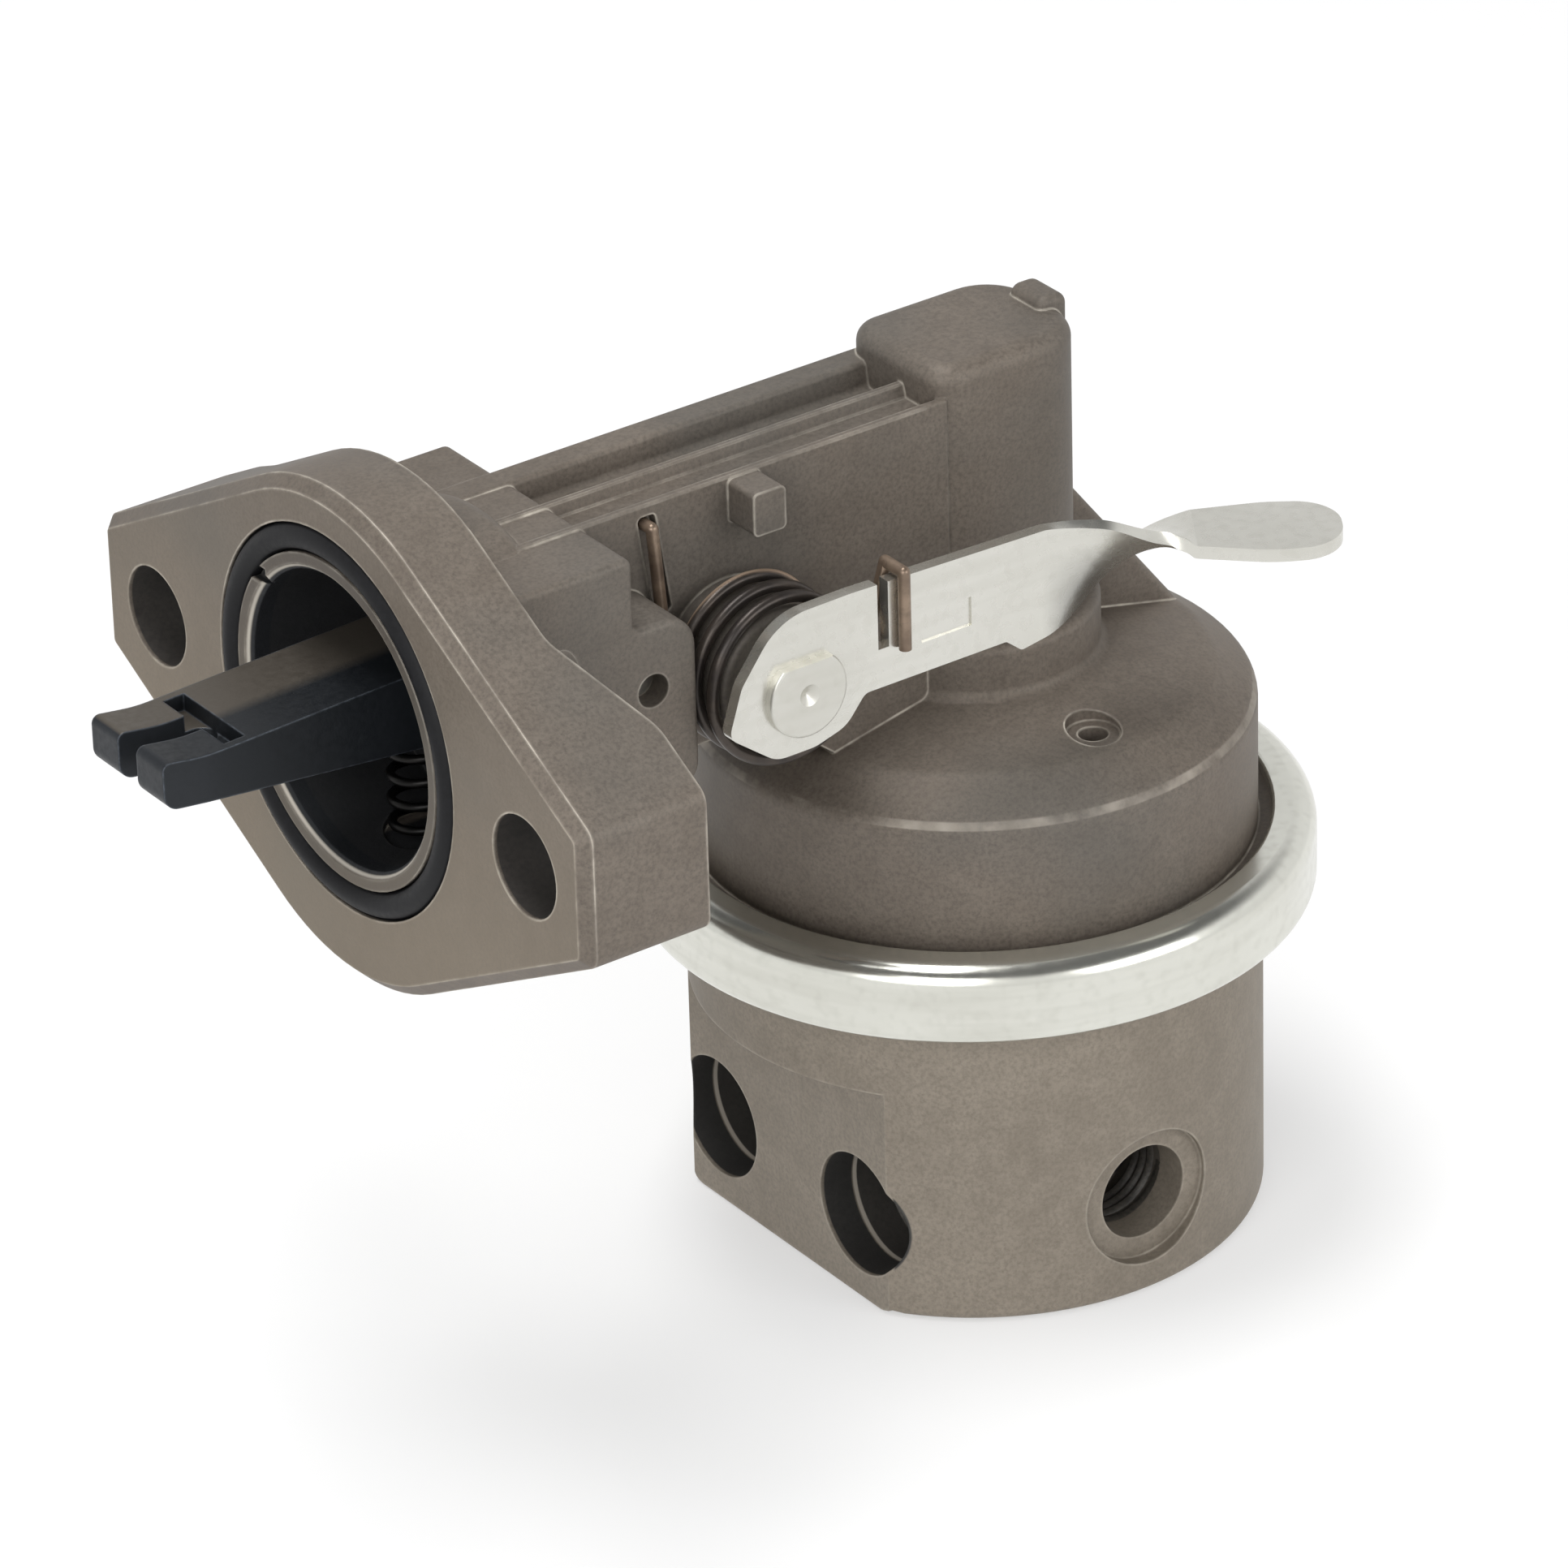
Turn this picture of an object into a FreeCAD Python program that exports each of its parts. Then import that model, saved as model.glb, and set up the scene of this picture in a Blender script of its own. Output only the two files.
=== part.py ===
import FreeCAD, Part
import math
import os

# Mechanical diaphragm fuel transfer pump, millimetres.
# The origin is the centre of the flange bore on the mounting face. The face looks along -X, the arm runs
# along +X to the diaphragm chamber, +Z is up, and the priming lever is on the -Y side.

V = FreeCAD.Vector
X_AXIS = V(1, 0, 0)
Y_AXIS = V(0, 1, 0)
Z_AXIS = V(0, 0, 1)

# Fits and clearances
running_fit = 0.04         # radial, shaft in its bore
body_gap = 0.3             # between faces that move past each other
seat_gap = 0.02            # between pieces that rest on each other
head_gap = 0.1             # between rocker nose and pull rod head
past_face = 1.0            # how far cutters run beyond the face they open
turned_edge = 0.3          # broken edge of small turned pieces

# Mounting flange
bore_radius = 13.1
bore_depth = 12.6
bore_lead_in = 0.6
flange_thickness = 8.0
flange_end_thickness = 12.2
flange_centre_z = -1.5
flange_disc_radius = 22.6
flange_half_length = 35.9
flange_end_half_height = 6.0
flange_edge_chamfer = 1.1
flange_end_corner = 1.6
flange_ramp_start = 20.0
flange_ramp_end = 29.5
flange_ramp_blend = 4.0
bolt_spacing = 55.0
bolt_hole_radius = 4.5
groove_inner_radius = 14.7
groove_width = 2.6
groove_depth = 2.0
seal_section_radius = 1.22
rim_notch_width = 1.6
rim_notch_reach = 1.6
rim_notch_depth = 0.9
rim_notch_angle = 40.0

# Bore barrel behind the flange and the pivot blocks beside it
barrel_wall = 2.5
barrel_length = 15.6
barrel_round = 2.0
block_half_width = 13.5
block_top_z = 13.9
block_upper_x = 21.0
block_lower_x = 27.1
block_lower_top_z = 7.0
block_bottom_z = -9.0
block_corner = 3.0
block_step_round = 0.8
block_edge_round = 0.6
block_foot_round = 2.0

# Arm between flange and tower
arm_half_width = 6.6
arm_top_z = 14.1
arm_bottom_z = -10.0
rear_rib_width = 2.9
mid_ridge_y = -1.0
mid_ridge_width = 0.7
front_ridge_width = 0.8
rear_trough_depth = 2.3
front_trough_depth = 1.2
ridge_slope = 0.4
ridge_round = 0.2
trough_round = 0.5
arm_belly_round = 2.0
arm_belly_reach = 1.0
arm_foot_reach = 3.0

# Tower above the diaphragm chamber
tower_left_reach = 7.7
tower_right_reach = 8.7
tower_left_corner = 2.8
tower_right_corner = 5.0
tower_top_z = 16.7
tower_edge_radius = 1.6
tower_swell = 0.3
end_rib_half_width = 2.3
end_rib_overhang = 0.7
end_rib_length = 3.0
end_rib_round = 1.0
end_rib_edge = 0.7
end_rib_rise = 1.0
gusset_top_z = -0.6
gusset_overhang = 1.5
gusset_foot_drop = 1.8
gusset_round = 1.5

# Cavity for the rocker
cavity_half_width = 4.4
cavity_bottom_z = -7.2
cavity_top_z = 10.5
cavity_end_wall = 2.3
tower_cavity_left_x = 60.3
tower_roof = 2.2

# Dome over the diaphragm
dome_x = 64.8
dome_inset = 5.1
dome_crown_z = -13.4
dome_shoulder_z = -15.6
dome_shoulder_width = 4.0
dome_corner = 1.8
dome_shoulder_drop = 2.8
dome_wall = 2.5
dome_boss_blend = 1.0
dome_shoulder_round = 3.0
clamp_corner = 1.6
dome_boss_radius = 11.4
dome_boss_top_z = -8.6
dome_boss_edge = 0.8
dome_inside_corner = 0.5
dome_haunch_inset = 1.5
dome_haunch_drop = 0.6
dome_haunch_depth = 3.2
dome_haunch_round = 2.0
pump_spring_seat_radius = 10.0
vent_radius = 1.3
vent_spot_radius = 2.4
vent_spot_depth = 0.6
vent_inset = 3.3
vent_reach = 4.0

# Clamped joint between dome and lower body
clamp_top_z = -30.85
clamp_flange_thickness = 2.45
diaphragm_thickness = 1.0
lower_flange_thickness = 1.5
ring_wall = 1.2
ring_outer_radius = 30.0
ring_lip_gap = 1.2
ring_lip_edge = 0.4
ring_shoulder = 2.0
ring_foot_corner = 1.2

# Rocker
rocker_pivot_x = 22.6
rocker_pivot_z = 1.1
rocker_pin_radius = 2.5
rocker_pin_inset = 2.4
pin_knockout_radius = 1.5
pin_sink = 0.4
pin_chamfer = 0.4
rocker_hub_radius = 5.6
fork_tip_x = -20.0
fork_tip_top_z = 5.1
fork_tip_height = 4.3
fork_tip_corner = 1.5
fork_finger_width = 4.0
fork_slot_width = 2.8
fork_slot_end_x = -11.6
fork_saddle_depth = 0.6
fork_step_width = 2.0
fork_step_depth = 1.4
fork_step_half_length = 4.6
fork_root_x = 7.0
fork_neck_x = 11.6
fork_root_bottom_z = -2.0
nose_radius = 2.4
nose_z = 4.1
nose_slot_width = 5.0
inner_arm_half_width = 3.9
inner_arm_rise_x = 35.0
inner_arm_rise_z = 5.2
inner_arm_height = 4.8
return_spring_x = 8.6
return_spring_radius = 3.0
return_spring_wire = 0.8
return_spring_turns = 4.5
return_seat_z = -13.4
return_pad_radius = 2.0
return_pad_drop = 1.6

# Pull rod and diaphragm stack
pull_rod_radius = 2.0
rod_neck_radius = 1.5
rivet_spread = 1.0
rod_head_radius = 4.0
rod_head_height = 2.2
rod_head_round = 0.8
guide_length = 3.4
stack_drop = 2.5
plate_margin = 4.5
lower_plate_margin = 6.0
plate_thickness = 1.2
plate_dish = 2.4
plate_bend = 0.9
washer_radius = 5.5
washer_thickness = 1.0
rivet_height = 1.0
rivet_round = 0.6
diaphragm_flat_margin = 4.0
diaphragm_roll_gap = 0.4
diaphragm_chamber_gap = 0.6
pump_spring_radius = 8.8
pump_spring_wire = 1.5
pump_spring_turns = 5.0
seal_radius = 6.5
seal_height = 3.2
seal_web = 1.2
seal_wall = 1.4
seal_draft = 0.6
seal_lip_gap = 0.05
seal_lip_width = 0.7
seal_edge_round = 0.3
retainer_thickness = 0.8
retainer_hole_gap = 1.2

# Priming shaft, lever and spring
prime_x = 34.9
prime_z = -1.4
prime_shaft_radius = 4.5
prime_boss_radius = 6.2
prime_boss_end_y = -14.6
prime_boss_edge = 0.6
prime_pilot_radius = 3.0
prime_pilot_length = 1.5
cam_radius = 4.4
cam_flat_height = 1.2
shaft_seal_y = -11.2
shaft_seal_width = 1.6
shaft_seal_depth = 1.1
lever_y = -17.0
lever_thickness = 1.2
lever_eye_radius = 6.9
lever_top_z = 5.6
lever_bottom_z = -3.6
lever_step_x = 55.8
lever_step_z = -4.9
lever_blade_end_x = 60.0
lever_crown_rise = 0.6
lever_end_bottom_z = -4.5
lever_slot_x = 43.1
lever_slot_width = 1.1
lever_slot_depth = 5.6
stake_radius = 3.9
stake_flat_height = 2.9
stake_neck_inset = 0.6
stake_height = 0.8
stake_dimple_radius = 1.0
twist_bend_x = 73.3
twist_bend_radius = 8.0
twist_narrow_start = 0.30
twist_narrow_end = 0.72
twist_steps = 14
twist_delay = 1.15         # exponent that holds the roll back at the blade's end
neck_width = 6.8
tab_z = 0.6
tab_heading = -32.5
tab_length = 12.6
tab_width = 9.0
tab_end_width = 8.2
tab_lean = 0.3
tab_side_radius = 12.0
coin_left = 12.1
coin_length = 5.2
coin_bottom = 0.6
coin_height = 2.7
coin_depth = 0.2
coil_radius = 7.1
coil_wire = 1.1
coil_whole_turns = 3
hook_reach = 10.0
hook_length = 7.2
leg_lean = 0.7
leg_top_z = 12.2
leg_bend_z = 4.0
leg_slot_width = 1.8
leg_slot_length = 9.4
leg_slot_depth = 1.1
stop_lug_offset = 0.5
stop_lug_length = 3.3
stop_lug_reach = 3.7
stop_lug_height = 4.0
stop_lug_drop = 0.3
stop_lug_round = 0.5

# Lower valve body
body_inset = 4.7
body_bottom_z = -67.2
body_bottom_chamfer = 0.8
flat_depth = 4.65
flat_top_z = -45.1
chamber_wall = 4.3
chamber_depth = 6.4
port_y = 10.5
port_z = -58.9
port_radius = 5.7
port_thread_depth = 12.5
port_gallery_radius = 4.5
port_gallery_end = 3.6
side_port_radius = 4.4
side_port_z = -57.9
side_spot_radius = 6.4
side_spot_depth = 1.3
side_thread_depth = 8.0
side_gallery_radius = 2.8

# Valves
pocket_radius = 7.0
pocket_floor_z = -51.0
throat_radius = 4.9
seat_plate_thickness = 2.0
seat_hole_radius = 1.2
seat_hole_circle = 3.6
seat_hole_count = 6
valve_stem_radius = 1.2
stem_head_radius = 3.6
stem_head_height = 0.8
disc_radius = 5.4
disc_thickness = 1.2
valve_spring_length = 3.6
valve_spring_radius = 2.2
valve_spring_wire = 0.6
valve_spring_turns = 3.5
valve_lift_clearance = 0.05
outlet_ledge_z = -44.7
outlet_ledge_width = 0.8

# Places worked out from the sizes above
stake_neck_radius = stake_radius - stake_neck_inset
clamp_radius = ring_outer_radius - ring_wall - seat_gap
dome_radius = ring_outer_radius - dome_inset
dome_shoulder_radius = dome_radius - dome_shoulder_width
vent_offset_y = vent_inset - dome_shoulder_radius
body_radius = ring_outer_radius - body_inset
flat_x = dome_x - body_radius + flat_depth
chamber_radius = body_radius - chamber_wall
side_spot_y = side_spot_depth - body_radius
plate_radius = chamber_radius - plate_margin
lower_plate_radius = chamber_radius - lower_plate_margin
diaphragm_flat_radius = chamber_radius - diaphragm_flat_margin
diaphragm_roll_radius = dome_radius - dome_wall - diaphragm_roll_gap
clamp_bottom_z = clamp_top_z - clamp_flange_thickness
dome_foot_z = clamp_top_z - clamp_flange_thickness / 2
tower_left_x = dome_x - tower_left_reach
tower_right_x = dome_x + tower_right_reach
lower_flange_z = clamp_bottom_z - diaphragm_thickness
ring_top_z = clamp_top_z + ring_wall + seat_gap
ring_bottom_z = lower_flange_z - lower_flange_thickness - ring_wall - seat_gap
groove_outer_radius = groove_inner_radius + groove_width
fork_half_width = fork_slot_width / 2 + fork_finger_width
head_seat_z = nose_z + nose_radius + head_gap
chamber_floor_z = lower_flange_z - chamber_depth
seal_top_z = cavity_bottom_z - guide_length
retainer_top_z = seal_top_z - seal_height - seat_gap
retainer_bottom_z = retainer_top_z - retainer_thickness
ceiling_z = retainer_bottom_z
stack_z = clamp_bottom_z - stack_drop
lever_face_y = lever_y - lever_thickness / 2
lever_back_y = lever_y + lever_thickness / 2
leg_y = -arm_half_width - coil_wire / 2 - body_gap
leg_top_x = prime_x - coil_radius - leg_lean
hook_x = prime_x + hook_reach


def outline(corners, place):
    """Closed wire through corners (u, v) or (u, v, radius), each rounded by its radius."""
    count = len(corners)
    starts = []
    for i in range(count):
        u, v = corners[i][0], corners[i][1]
        radius = corners[i][2] if len(corners[i]) > 2 else 0
        before = V(corners[i - 1][0] - u, corners[i - 1][1] - v, 0).normalize()
        after_corner = corners[(i + 1) % count]
        after = V(after_corner[0] - u, after_corner[1] - v, 0).normalize()
        here = V(u, v, 0)
        if radius <= 0:
            starts.append((here, None, here))
            continue
        half = before.getAngle(after) / 2
        reach = radius / math.tan(half)
        bisector = (before + after).normalize()
        middle = here + bisector * (radius / math.sin(half) - radius)
        starts.append((here + before * reach, middle, here + after * reach))
    edges = []
    for i in range(count):
        enter, middle, leave = starts[i]
        if middle is not None:
            edges.append(Part.Arc(place(enter), place(middle), place(leave)).toShape())
        following = starts[(i + 1) % count][0]
        if (following - leave).Length > 1e-6:
            edges.append(Part.makeLine(place(leave), place(following)))
    return Part.Wire(Part.__sortEdges__(edges))


def prism_x(corners, x0, x1):
    wire = outline(corners, lambda p: V(x0, p.x, p.y))
    return Part.Face(wire).extrude(V(x1 - x0, 0, 0))


def prism_y(corners, y0, y1):
    wire = outline(corners, lambda p: V(p.x, y0, p.y))
    return Part.Face(wire).extrude(V(0, y1 - y0, 0))


def prism_z(corners, z0, z1):
    wire = outline(corners, lambda p: V(p.x, p.y, z0))
    return Part.Face(wire).extrude(V(0, 0, z1 - z0))


def turned_z(corners, x, y):
    """Solid of revolution about a vertical axis, from corners (radius, z)."""
    wire = outline(corners, lambda p: V(x + p.x, y, p.y))
    return Part.Face(wire).revolve(V(x, y, 0), Z_AXIS, 360)


def turned_y(corners, x, z):
    """Solid of revolution about an axis along Y, from corners (radius, y)."""
    wire = outline(corners, lambda p: V(x + p.x, p.y, z))
    return Part.Face(wire).revolve(V(x, 0, z), Y_AXIS, 360)


def turned_x(corners, y, z):
    """Solid of revolution about an axis along X, from corners (radius, x)."""
    wire = outline(corners, lambda p: V(p.y, y, z + p.x))
    return Part.Face(wire).revolve(V(0, y, z), X_AXIS, 360)


def cylinder_x(radius, x0, x1, y, z):
    return Part.makeCylinder(radius, x1 - x0, V(x0, y, z), X_AXIS)


def cylinder_y(radius, y0, y1, x, z):
    return Part.makeCylinder(radius, y1 - y0, V(x, y0, z), Y_AXIS)


def cylinder_z(radius, z0, z1, x, y):
    return Part.makeCylinder(radius, z1 - z0, V(x, y, z0), Z_AXIS)


def box(x0, x1, y0, y1, z0, z1):
    return Part.makeBox(x1 - x0, y1 - y0, z1 - z0, V(x0, y0, z0))


def joined(shapes):
    return shapes[0].fuse(shapes[1:]).removeSplitter()


def coil_z(radius, wire_radius, z0, z1, turns, x, y):
    """Round-wire compression spring standing between two seats."""
    height = z1 - z0 - 2 * wire_radius
    helix = Part.makeLongHelix(height / turns, height, radius, 0)
    profile = Part.Wire(Part.makeCircle(wire_radius, V(radius, 0, 0), Y_AXIS))
    spring = Part.Wire(helix.Edges).makePipeShell([profile], True, True)
    spring.translate(V(x, y, z0 + wire_radius))
    return spring


def flange_plate():
    """Diamond plate with thick bolt ends, ramped at the back."""
    end = flange_half_length
    top = flange_end_half_height
    distance = math.hypot(end, top)
    turn = math.asin(flange_disc_radius / distance) - math.atan2(top, end)
    touch_y = flange_disc_radius * math.sin(turn)
    touch_z = flange_disc_radius * math.cos(turn)
    z0 = flange_centre_z
    corners = [V(0, -end, z0 - top), V(0, -touch_y, z0 - touch_z), V(0, 0, z0 - flange_disc_radius),
               V(0, touch_y, z0 - touch_z), V(0, end, z0 - top), V(0, end, z0 + top),
               V(0, touch_y, z0 + touch_z), V(0, 0, z0 + flange_disc_radius),
               V(0, -touch_y, z0 + touch_z), V(0, -end, z0 + top)]
    edges = [Part.makeLine(corners[0], corners[1]),
             Part.Arc(corners[1], corners[2], corners[3]).toShape(),
             Part.makeLine(corners[3], corners[4]), Part.makeLine(corners[4], corners[5]),
             Part.makeLine(corners[5], corners[6]),
             Part.Arc(corners[6], corners[7], corners[8]).toShape(),
             Part.makeLine(corners[8], corners[9]), Part.makeLine(corners[9], corners[0])]
    plate = Part.Face(Part.Wire(edges)).extrude(V(flange_end_thickness, 0, 0))
    upright = [e for e in plate.Edges
               if abs(abs(e.CenterOfMass.y) - end) < 0.01 and e.BoundBox.XLength > 1]
    plate = plate.makeFillet(flange_end_corner, upright)
    rim = [e for e in plate.Edges if e.BoundBox.XMax < 0.01]
    plate = plate.makeChamfer(flange_edge_chamfer, rim)
    wide = end + past_face
    blend = flange_ramp_blend
    back = prism_z([(-past_face, -wide), (flange_end_thickness, -wide),
                    (flange_end_thickness, -flange_ramp_end, blend), (flange_thickness, -flange_ramp_start, blend),
                    (flange_thickness, flange_ramp_start, blend), (flange_end_thickness, flange_ramp_end, blend),
                    (flange_end_thickness, wide), (-past_face, wide)],
                   z0 - flange_disc_radius - past_face, z0 + flange_disc_radius + past_face)
    return plate.common(back)


def arm_beam():
    """Beam with a wide rear rib, two thin ridges and troughs between them."""
    rear = arm_half_width - rear_rib_width
    ridge = mid_ridge_y - mid_ridge_width
    front = -arm_half_width
    front_ridge = front + front_ridge_width
    deep = arm_top_z - rear_trough_depth
    shallow = arm_top_z - front_trough_depth
    foot = dome_shoulder_z - past_face
    section = [(front, foot), (front, arm_top_z, ridge_round), (front_ridge, arm_top_z, ridge_round),
               (front_ridge + ridge_slope, shallow, ridge_round), (ridge - ridge_slope, shallow, ridge_round),
               (ridge, arm_top_z, ridge_round), (mid_ridge_y, arm_top_z, ridge_round),
               (mid_ridge_y + ridge_slope, deep, trough_round), (rear - ridge_slope, deep, trough_round),
               (rear, arm_top_z, trough_round), (arm_half_width, arm_top_z, trough_round), (arm_half_width, foot)]
    beam = prism_x(section, flange_thickness - past_face, tower_left_x + past_face)
    side = prism_y([(0, arm_bottom_z), (dome_x - dome_radius - arm_belly_reach, arm_bottom_z, arm_belly_round),
                    (dome_x - dome_shoulder_radius + arm_foot_reach, foot), (tower_right_x, foot),
                    (tower_right_x, arm_top_z + past_face), (0, arm_top_z + past_face)],
                   -arm_half_width - past_face, arm_half_width + past_face)
    return beam.common(side)


def pivot_blocks():
    start = flange_thickness - past_face
    corners = [(start, block_bottom_z), (start, block_top_z),
               (block_upper_x, block_top_z, block_step_round), (block_upper_x, block_lower_top_z, block_step_round),
               (block_lower_x, block_lower_top_z, block_corner), (block_lower_x, block_bottom_z, block_foot_round)]
    blocks = prism_y(corners, -block_half_width, block_half_width)
    rims = [e for e in blocks.Edges
            if e.BoundBox.YLength < 0.01 and e.CenterOfMass.x > flange_thickness + 0.5
            and e.CenterOfMass.z > block_bottom_z + 0.5]
    return blocks.makeFillet(block_edge_round, rims)


def tower():
    """Upright block over the pull rod, with rounded top edges and an end rib that flares to the dome."""
    half = arm_half_width + tower_swell
    base = dome_shoulder_z - past_face
    block = prism_z([(tower_left_x, -half, tower_left_corner), (tower_right_x, -half, tower_right_corner),
                     (tower_right_x, half, tower_right_corner), (tower_left_x, half, tower_left_corner)],
                    base, tower_top_z)
    top = [e for e in block.Edges if e.BoundBox.ZMin > tower_top_z - 0.01]
    block = block.makeFillet(tower_edge_radius, top)
    rib_top = tower_top_z + end_rib_rise
    rib_end = tower_right_x + end_rib_overhang
    rib_start = rib_end - end_rib_length
    foot_x = dome_x + dome_shoulder_radius + gusset_overhang
    foot_z = dome_shoulder_z - gusset_foot_drop
    rib = prism_y([(rib_start, base), (rib_start, rib_top, end_rib_round), (rib_end, rib_top, end_rib_round),
                   (rib_end, gusset_top_z, gusset_round), (foot_x, foot_z, gusset_round), (foot_x, dome_foot_z)],
                  -end_rib_half_width, end_rib_half_width)
    crest = [e for e in rib.Edges
             if e.BoundBox.YLength < 0.01 and e.BoundBox.ZMin > rib_top - end_rib_round - 0.01]
    return block.fuse(rib.makeFillet(end_rib_edge, crest))


def dome_shell():
    """Dome outside: boss, sloped crown, round shoulder, skirt and clamp flange."""
    outer = [(0, dome_foot_z), (0, dome_boss_top_z), (dome_boss_radius, dome_boss_top_z, dome_boss_edge),
             (dome_boss_radius, dome_crown_z, dome_boss_blend),
             (dome_shoulder_radius, dome_shoulder_z, dome_shoulder_round),
             (dome_radius, dome_shoulder_z - dome_shoulder_drop, dome_corner), (dome_radius, dome_foot_z)]
    dome = turned_z(outer, dome_x, 0)
    flange = turned_z([(0, clamp_bottom_z), (0, clamp_top_z), (clamp_radius, clamp_top_z, clamp_corner),
                       (clamp_radius, clamp_bottom_z)], dome_x, 0)
    return dome.fuse(flange)


def dome_cavity():
    """Spring chamber inside the dome, with the seat of the pull rod seal above it."""
    inside = dome_radius - dome_wall
    haunch_z = dome_shoulder_z - dome_wall
    start = clamp_bottom_z - past_face
    chamber = turned_z([(0, start), (0, ceiling_z), (pump_spring_seat_radius, ceiling_z, dome_inside_corner),
                        (dome_shoulder_radius - dome_haunch_inset, haunch_z - dome_haunch_drop, dome_haunch_round),
                        (inside, haunch_z - dome_haunch_depth, dome_haunch_round), (inside, start)], dome_x, 0)
    seal_seat = cylinder_z(seal_radius, ceiling_z - past_face, seal_top_z, dome_x, 0)
    guide = cylinder_z(pull_rod_radius + running_fit, seal_top_z - past_face, cavity_bottom_z + past_face, dome_x, 0)
    return chamber.fuse([seal_seat, guide])


def rocker_cavity():
    """Slot through the arm for the rocker, taller under the tower."""
    left = bore_depth - past_face
    right = tower_right_x - cavity_end_wall
    corners = [(left, cavity_bottom_z), (left, cavity_top_z), (tower_cavity_left_x, cavity_top_z),
               (tower_cavity_left_x, tower_top_z - tower_roof, 1), (right, tower_top_z - tower_roof, 1),
               (right, cavity_bottom_z, 2)]
    return prism_y(corners, -cavity_half_width, cavity_half_width)


def flange_cuts():
    """Bore, seal groove with its notch, and bolt holes."""
    cuts = [cylinder_x(bore_radius, -past_face, bore_depth, 0, 0),
            Part.makeCone(bore_radius + bore_lead_in, bore_radius, bore_lead_in, V(0, 0, 0), X_AXIS)]
    groove = cylinder_x(groove_outer_radius, -past_face, groove_depth, 0, 0)
    cuts.append(groove.cut(cylinder_x(groove_inner_radius, -past_face, groove_depth, 0, 0)))
    notch_y = groove_inner_radius * math.cos(math.radians(rim_notch_angle))
    notch_z = groove_inner_radius * math.sin(math.radians(rim_notch_angle))
    cuts.append(box(-past_face, rim_notch_depth, notch_y - rim_notch_reach, notch_y + past_face,
                    notch_z - rim_notch_width / 2, notch_z + rim_notch_width / 2))
    for side in (-1, 1):
        cuts.append(cylinder_x(bolt_hole_radius, -past_face, flange_end_thickness + past_face,
                               side * bolt_spacing / 2, flange_centre_z))
    return cuts


def upper_housing():
    barrel_radius = bore_radius + barrel_wall
    barrel = turned_x([(0, past_face), (barrel_radius, past_face), (barrel_radius, barrel_length, barrel_round),
                      (0, barrel_length)], 0, 0)
    root = -arm_half_width + past_face
    prime_boss = turned_y([(0, root), (prime_boss_radius, root),
                           (prime_boss_radius, prime_boss_end_y, prime_boss_edge), (0, prime_boss_end_y)],
                          prime_x, prime_z)
    lug_x = prime_x + stop_lug_offset
    lug_top = arm_top_z - stop_lug_drop
    lug = prism_y([(lug_x, lug_top - stop_lug_height, stop_lug_round), (lug_x, lug_top, stop_lug_round),
                   (lug_x + stop_lug_length, lug_top, stop_lug_round),
                   (lug_x + stop_lug_length, lug_top - stop_lug_height, stop_lug_round)],
                  -arm_half_width - stop_lug_reach, root)
    solid = joined([flange_plate(), barrel, pivot_blocks(), arm_beam(), tower(), dome_shell(), prime_boss, lug])
    cuts = flange_cuts()
    cuts.append(rocker_cavity())
    cuts.append(dome_cavity())
    pin_end = block_half_width - rocker_pin_inset
    cuts.append(cylinder_y(rocker_pin_radius, -pin_end, block_half_width + past_face, rocker_pivot_x,
                           rocker_pivot_z))
    cuts.append(cylinder_y(pin_knockout_radius, -block_half_width - past_face, 0, rocker_pivot_x, rocker_pivot_z))
    shaft_bore = prime_shaft_radius + running_fit
    cuts.append(cylinder_y(shaft_bore, prime_boss_end_y - past_face, cavity_half_width - past_face, prime_x,
                           prime_z))
    pilot_end = cavity_half_width + prime_pilot_length
    cuts.append(cylinder_y(prime_pilot_radius + running_fit, 0, pilot_end, prime_x, prime_z))
    cuts.append(cylinder_z(return_spring_radius + return_spring_wire, return_seat_z, -bore_radius + 3 * past_face,
                           return_spring_x, 0))
    slope = (dome_crown_z - dome_shoulder_z) / (dome_shoulder_radius - dome_boss_radius)
    vent_top = dome_crown_z - (abs(vent_offset_y) - dome_boss_radius) * slope
    cuts.append(cylinder_z(vent_radius, vent_top - dome_wall - vent_reach, vent_top + 2 * past_face, dome_x,
                           vent_offset_y))
    cuts.append(cylinder_z(vent_spot_radius, vent_top - vent_spot_depth, vent_top + 2 * past_face, dome_x,
                           vent_offset_y))
    front = -arm_half_width
    half_slot = leg_slot_width / 2
    slot_top_z = leg_top_z + coil_wire / 2 + body_gap
    slot_foot_z = slot_top_z - leg_slot_length
    foot_x = leg_top_x + 2 * leg_lean
    cuts.append(prism_y([(leg_top_x - half_slot, slot_top_z, half_slot / 2),
                         (leg_top_x + half_slot, slot_top_z, half_slot / 2),
                         (foot_x + half_slot, slot_foot_z, half_slot / 2),
                         (foot_x - half_slot, slot_foot_z, half_slot / 2)], front - past_face, front + leg_slot_depth))
    return solid.cut(cuts)


def flange_seal():
    mean = groove_inner_radius + groove_width / 2
    centre_x = groove_depth - seal_section_radius - seat_gap
    return Part.makeTorus(mean, seal_section_radius, V(centre_x, 0, 0), X_AXIS)


def rocker_pin():
    end = block_half_width - rocker_pin_inset
    pin = cylinder_y(rocker_pin_radius, -end, block_half_width - pin_sink, rocker_pivot_x, rocker_pivot_z)
    rims = [e for e in pin.Edges if e.BoundBox.YLength < 0.01]
    return pin.makeChamfer(pin_chamfer, rims)


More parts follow.
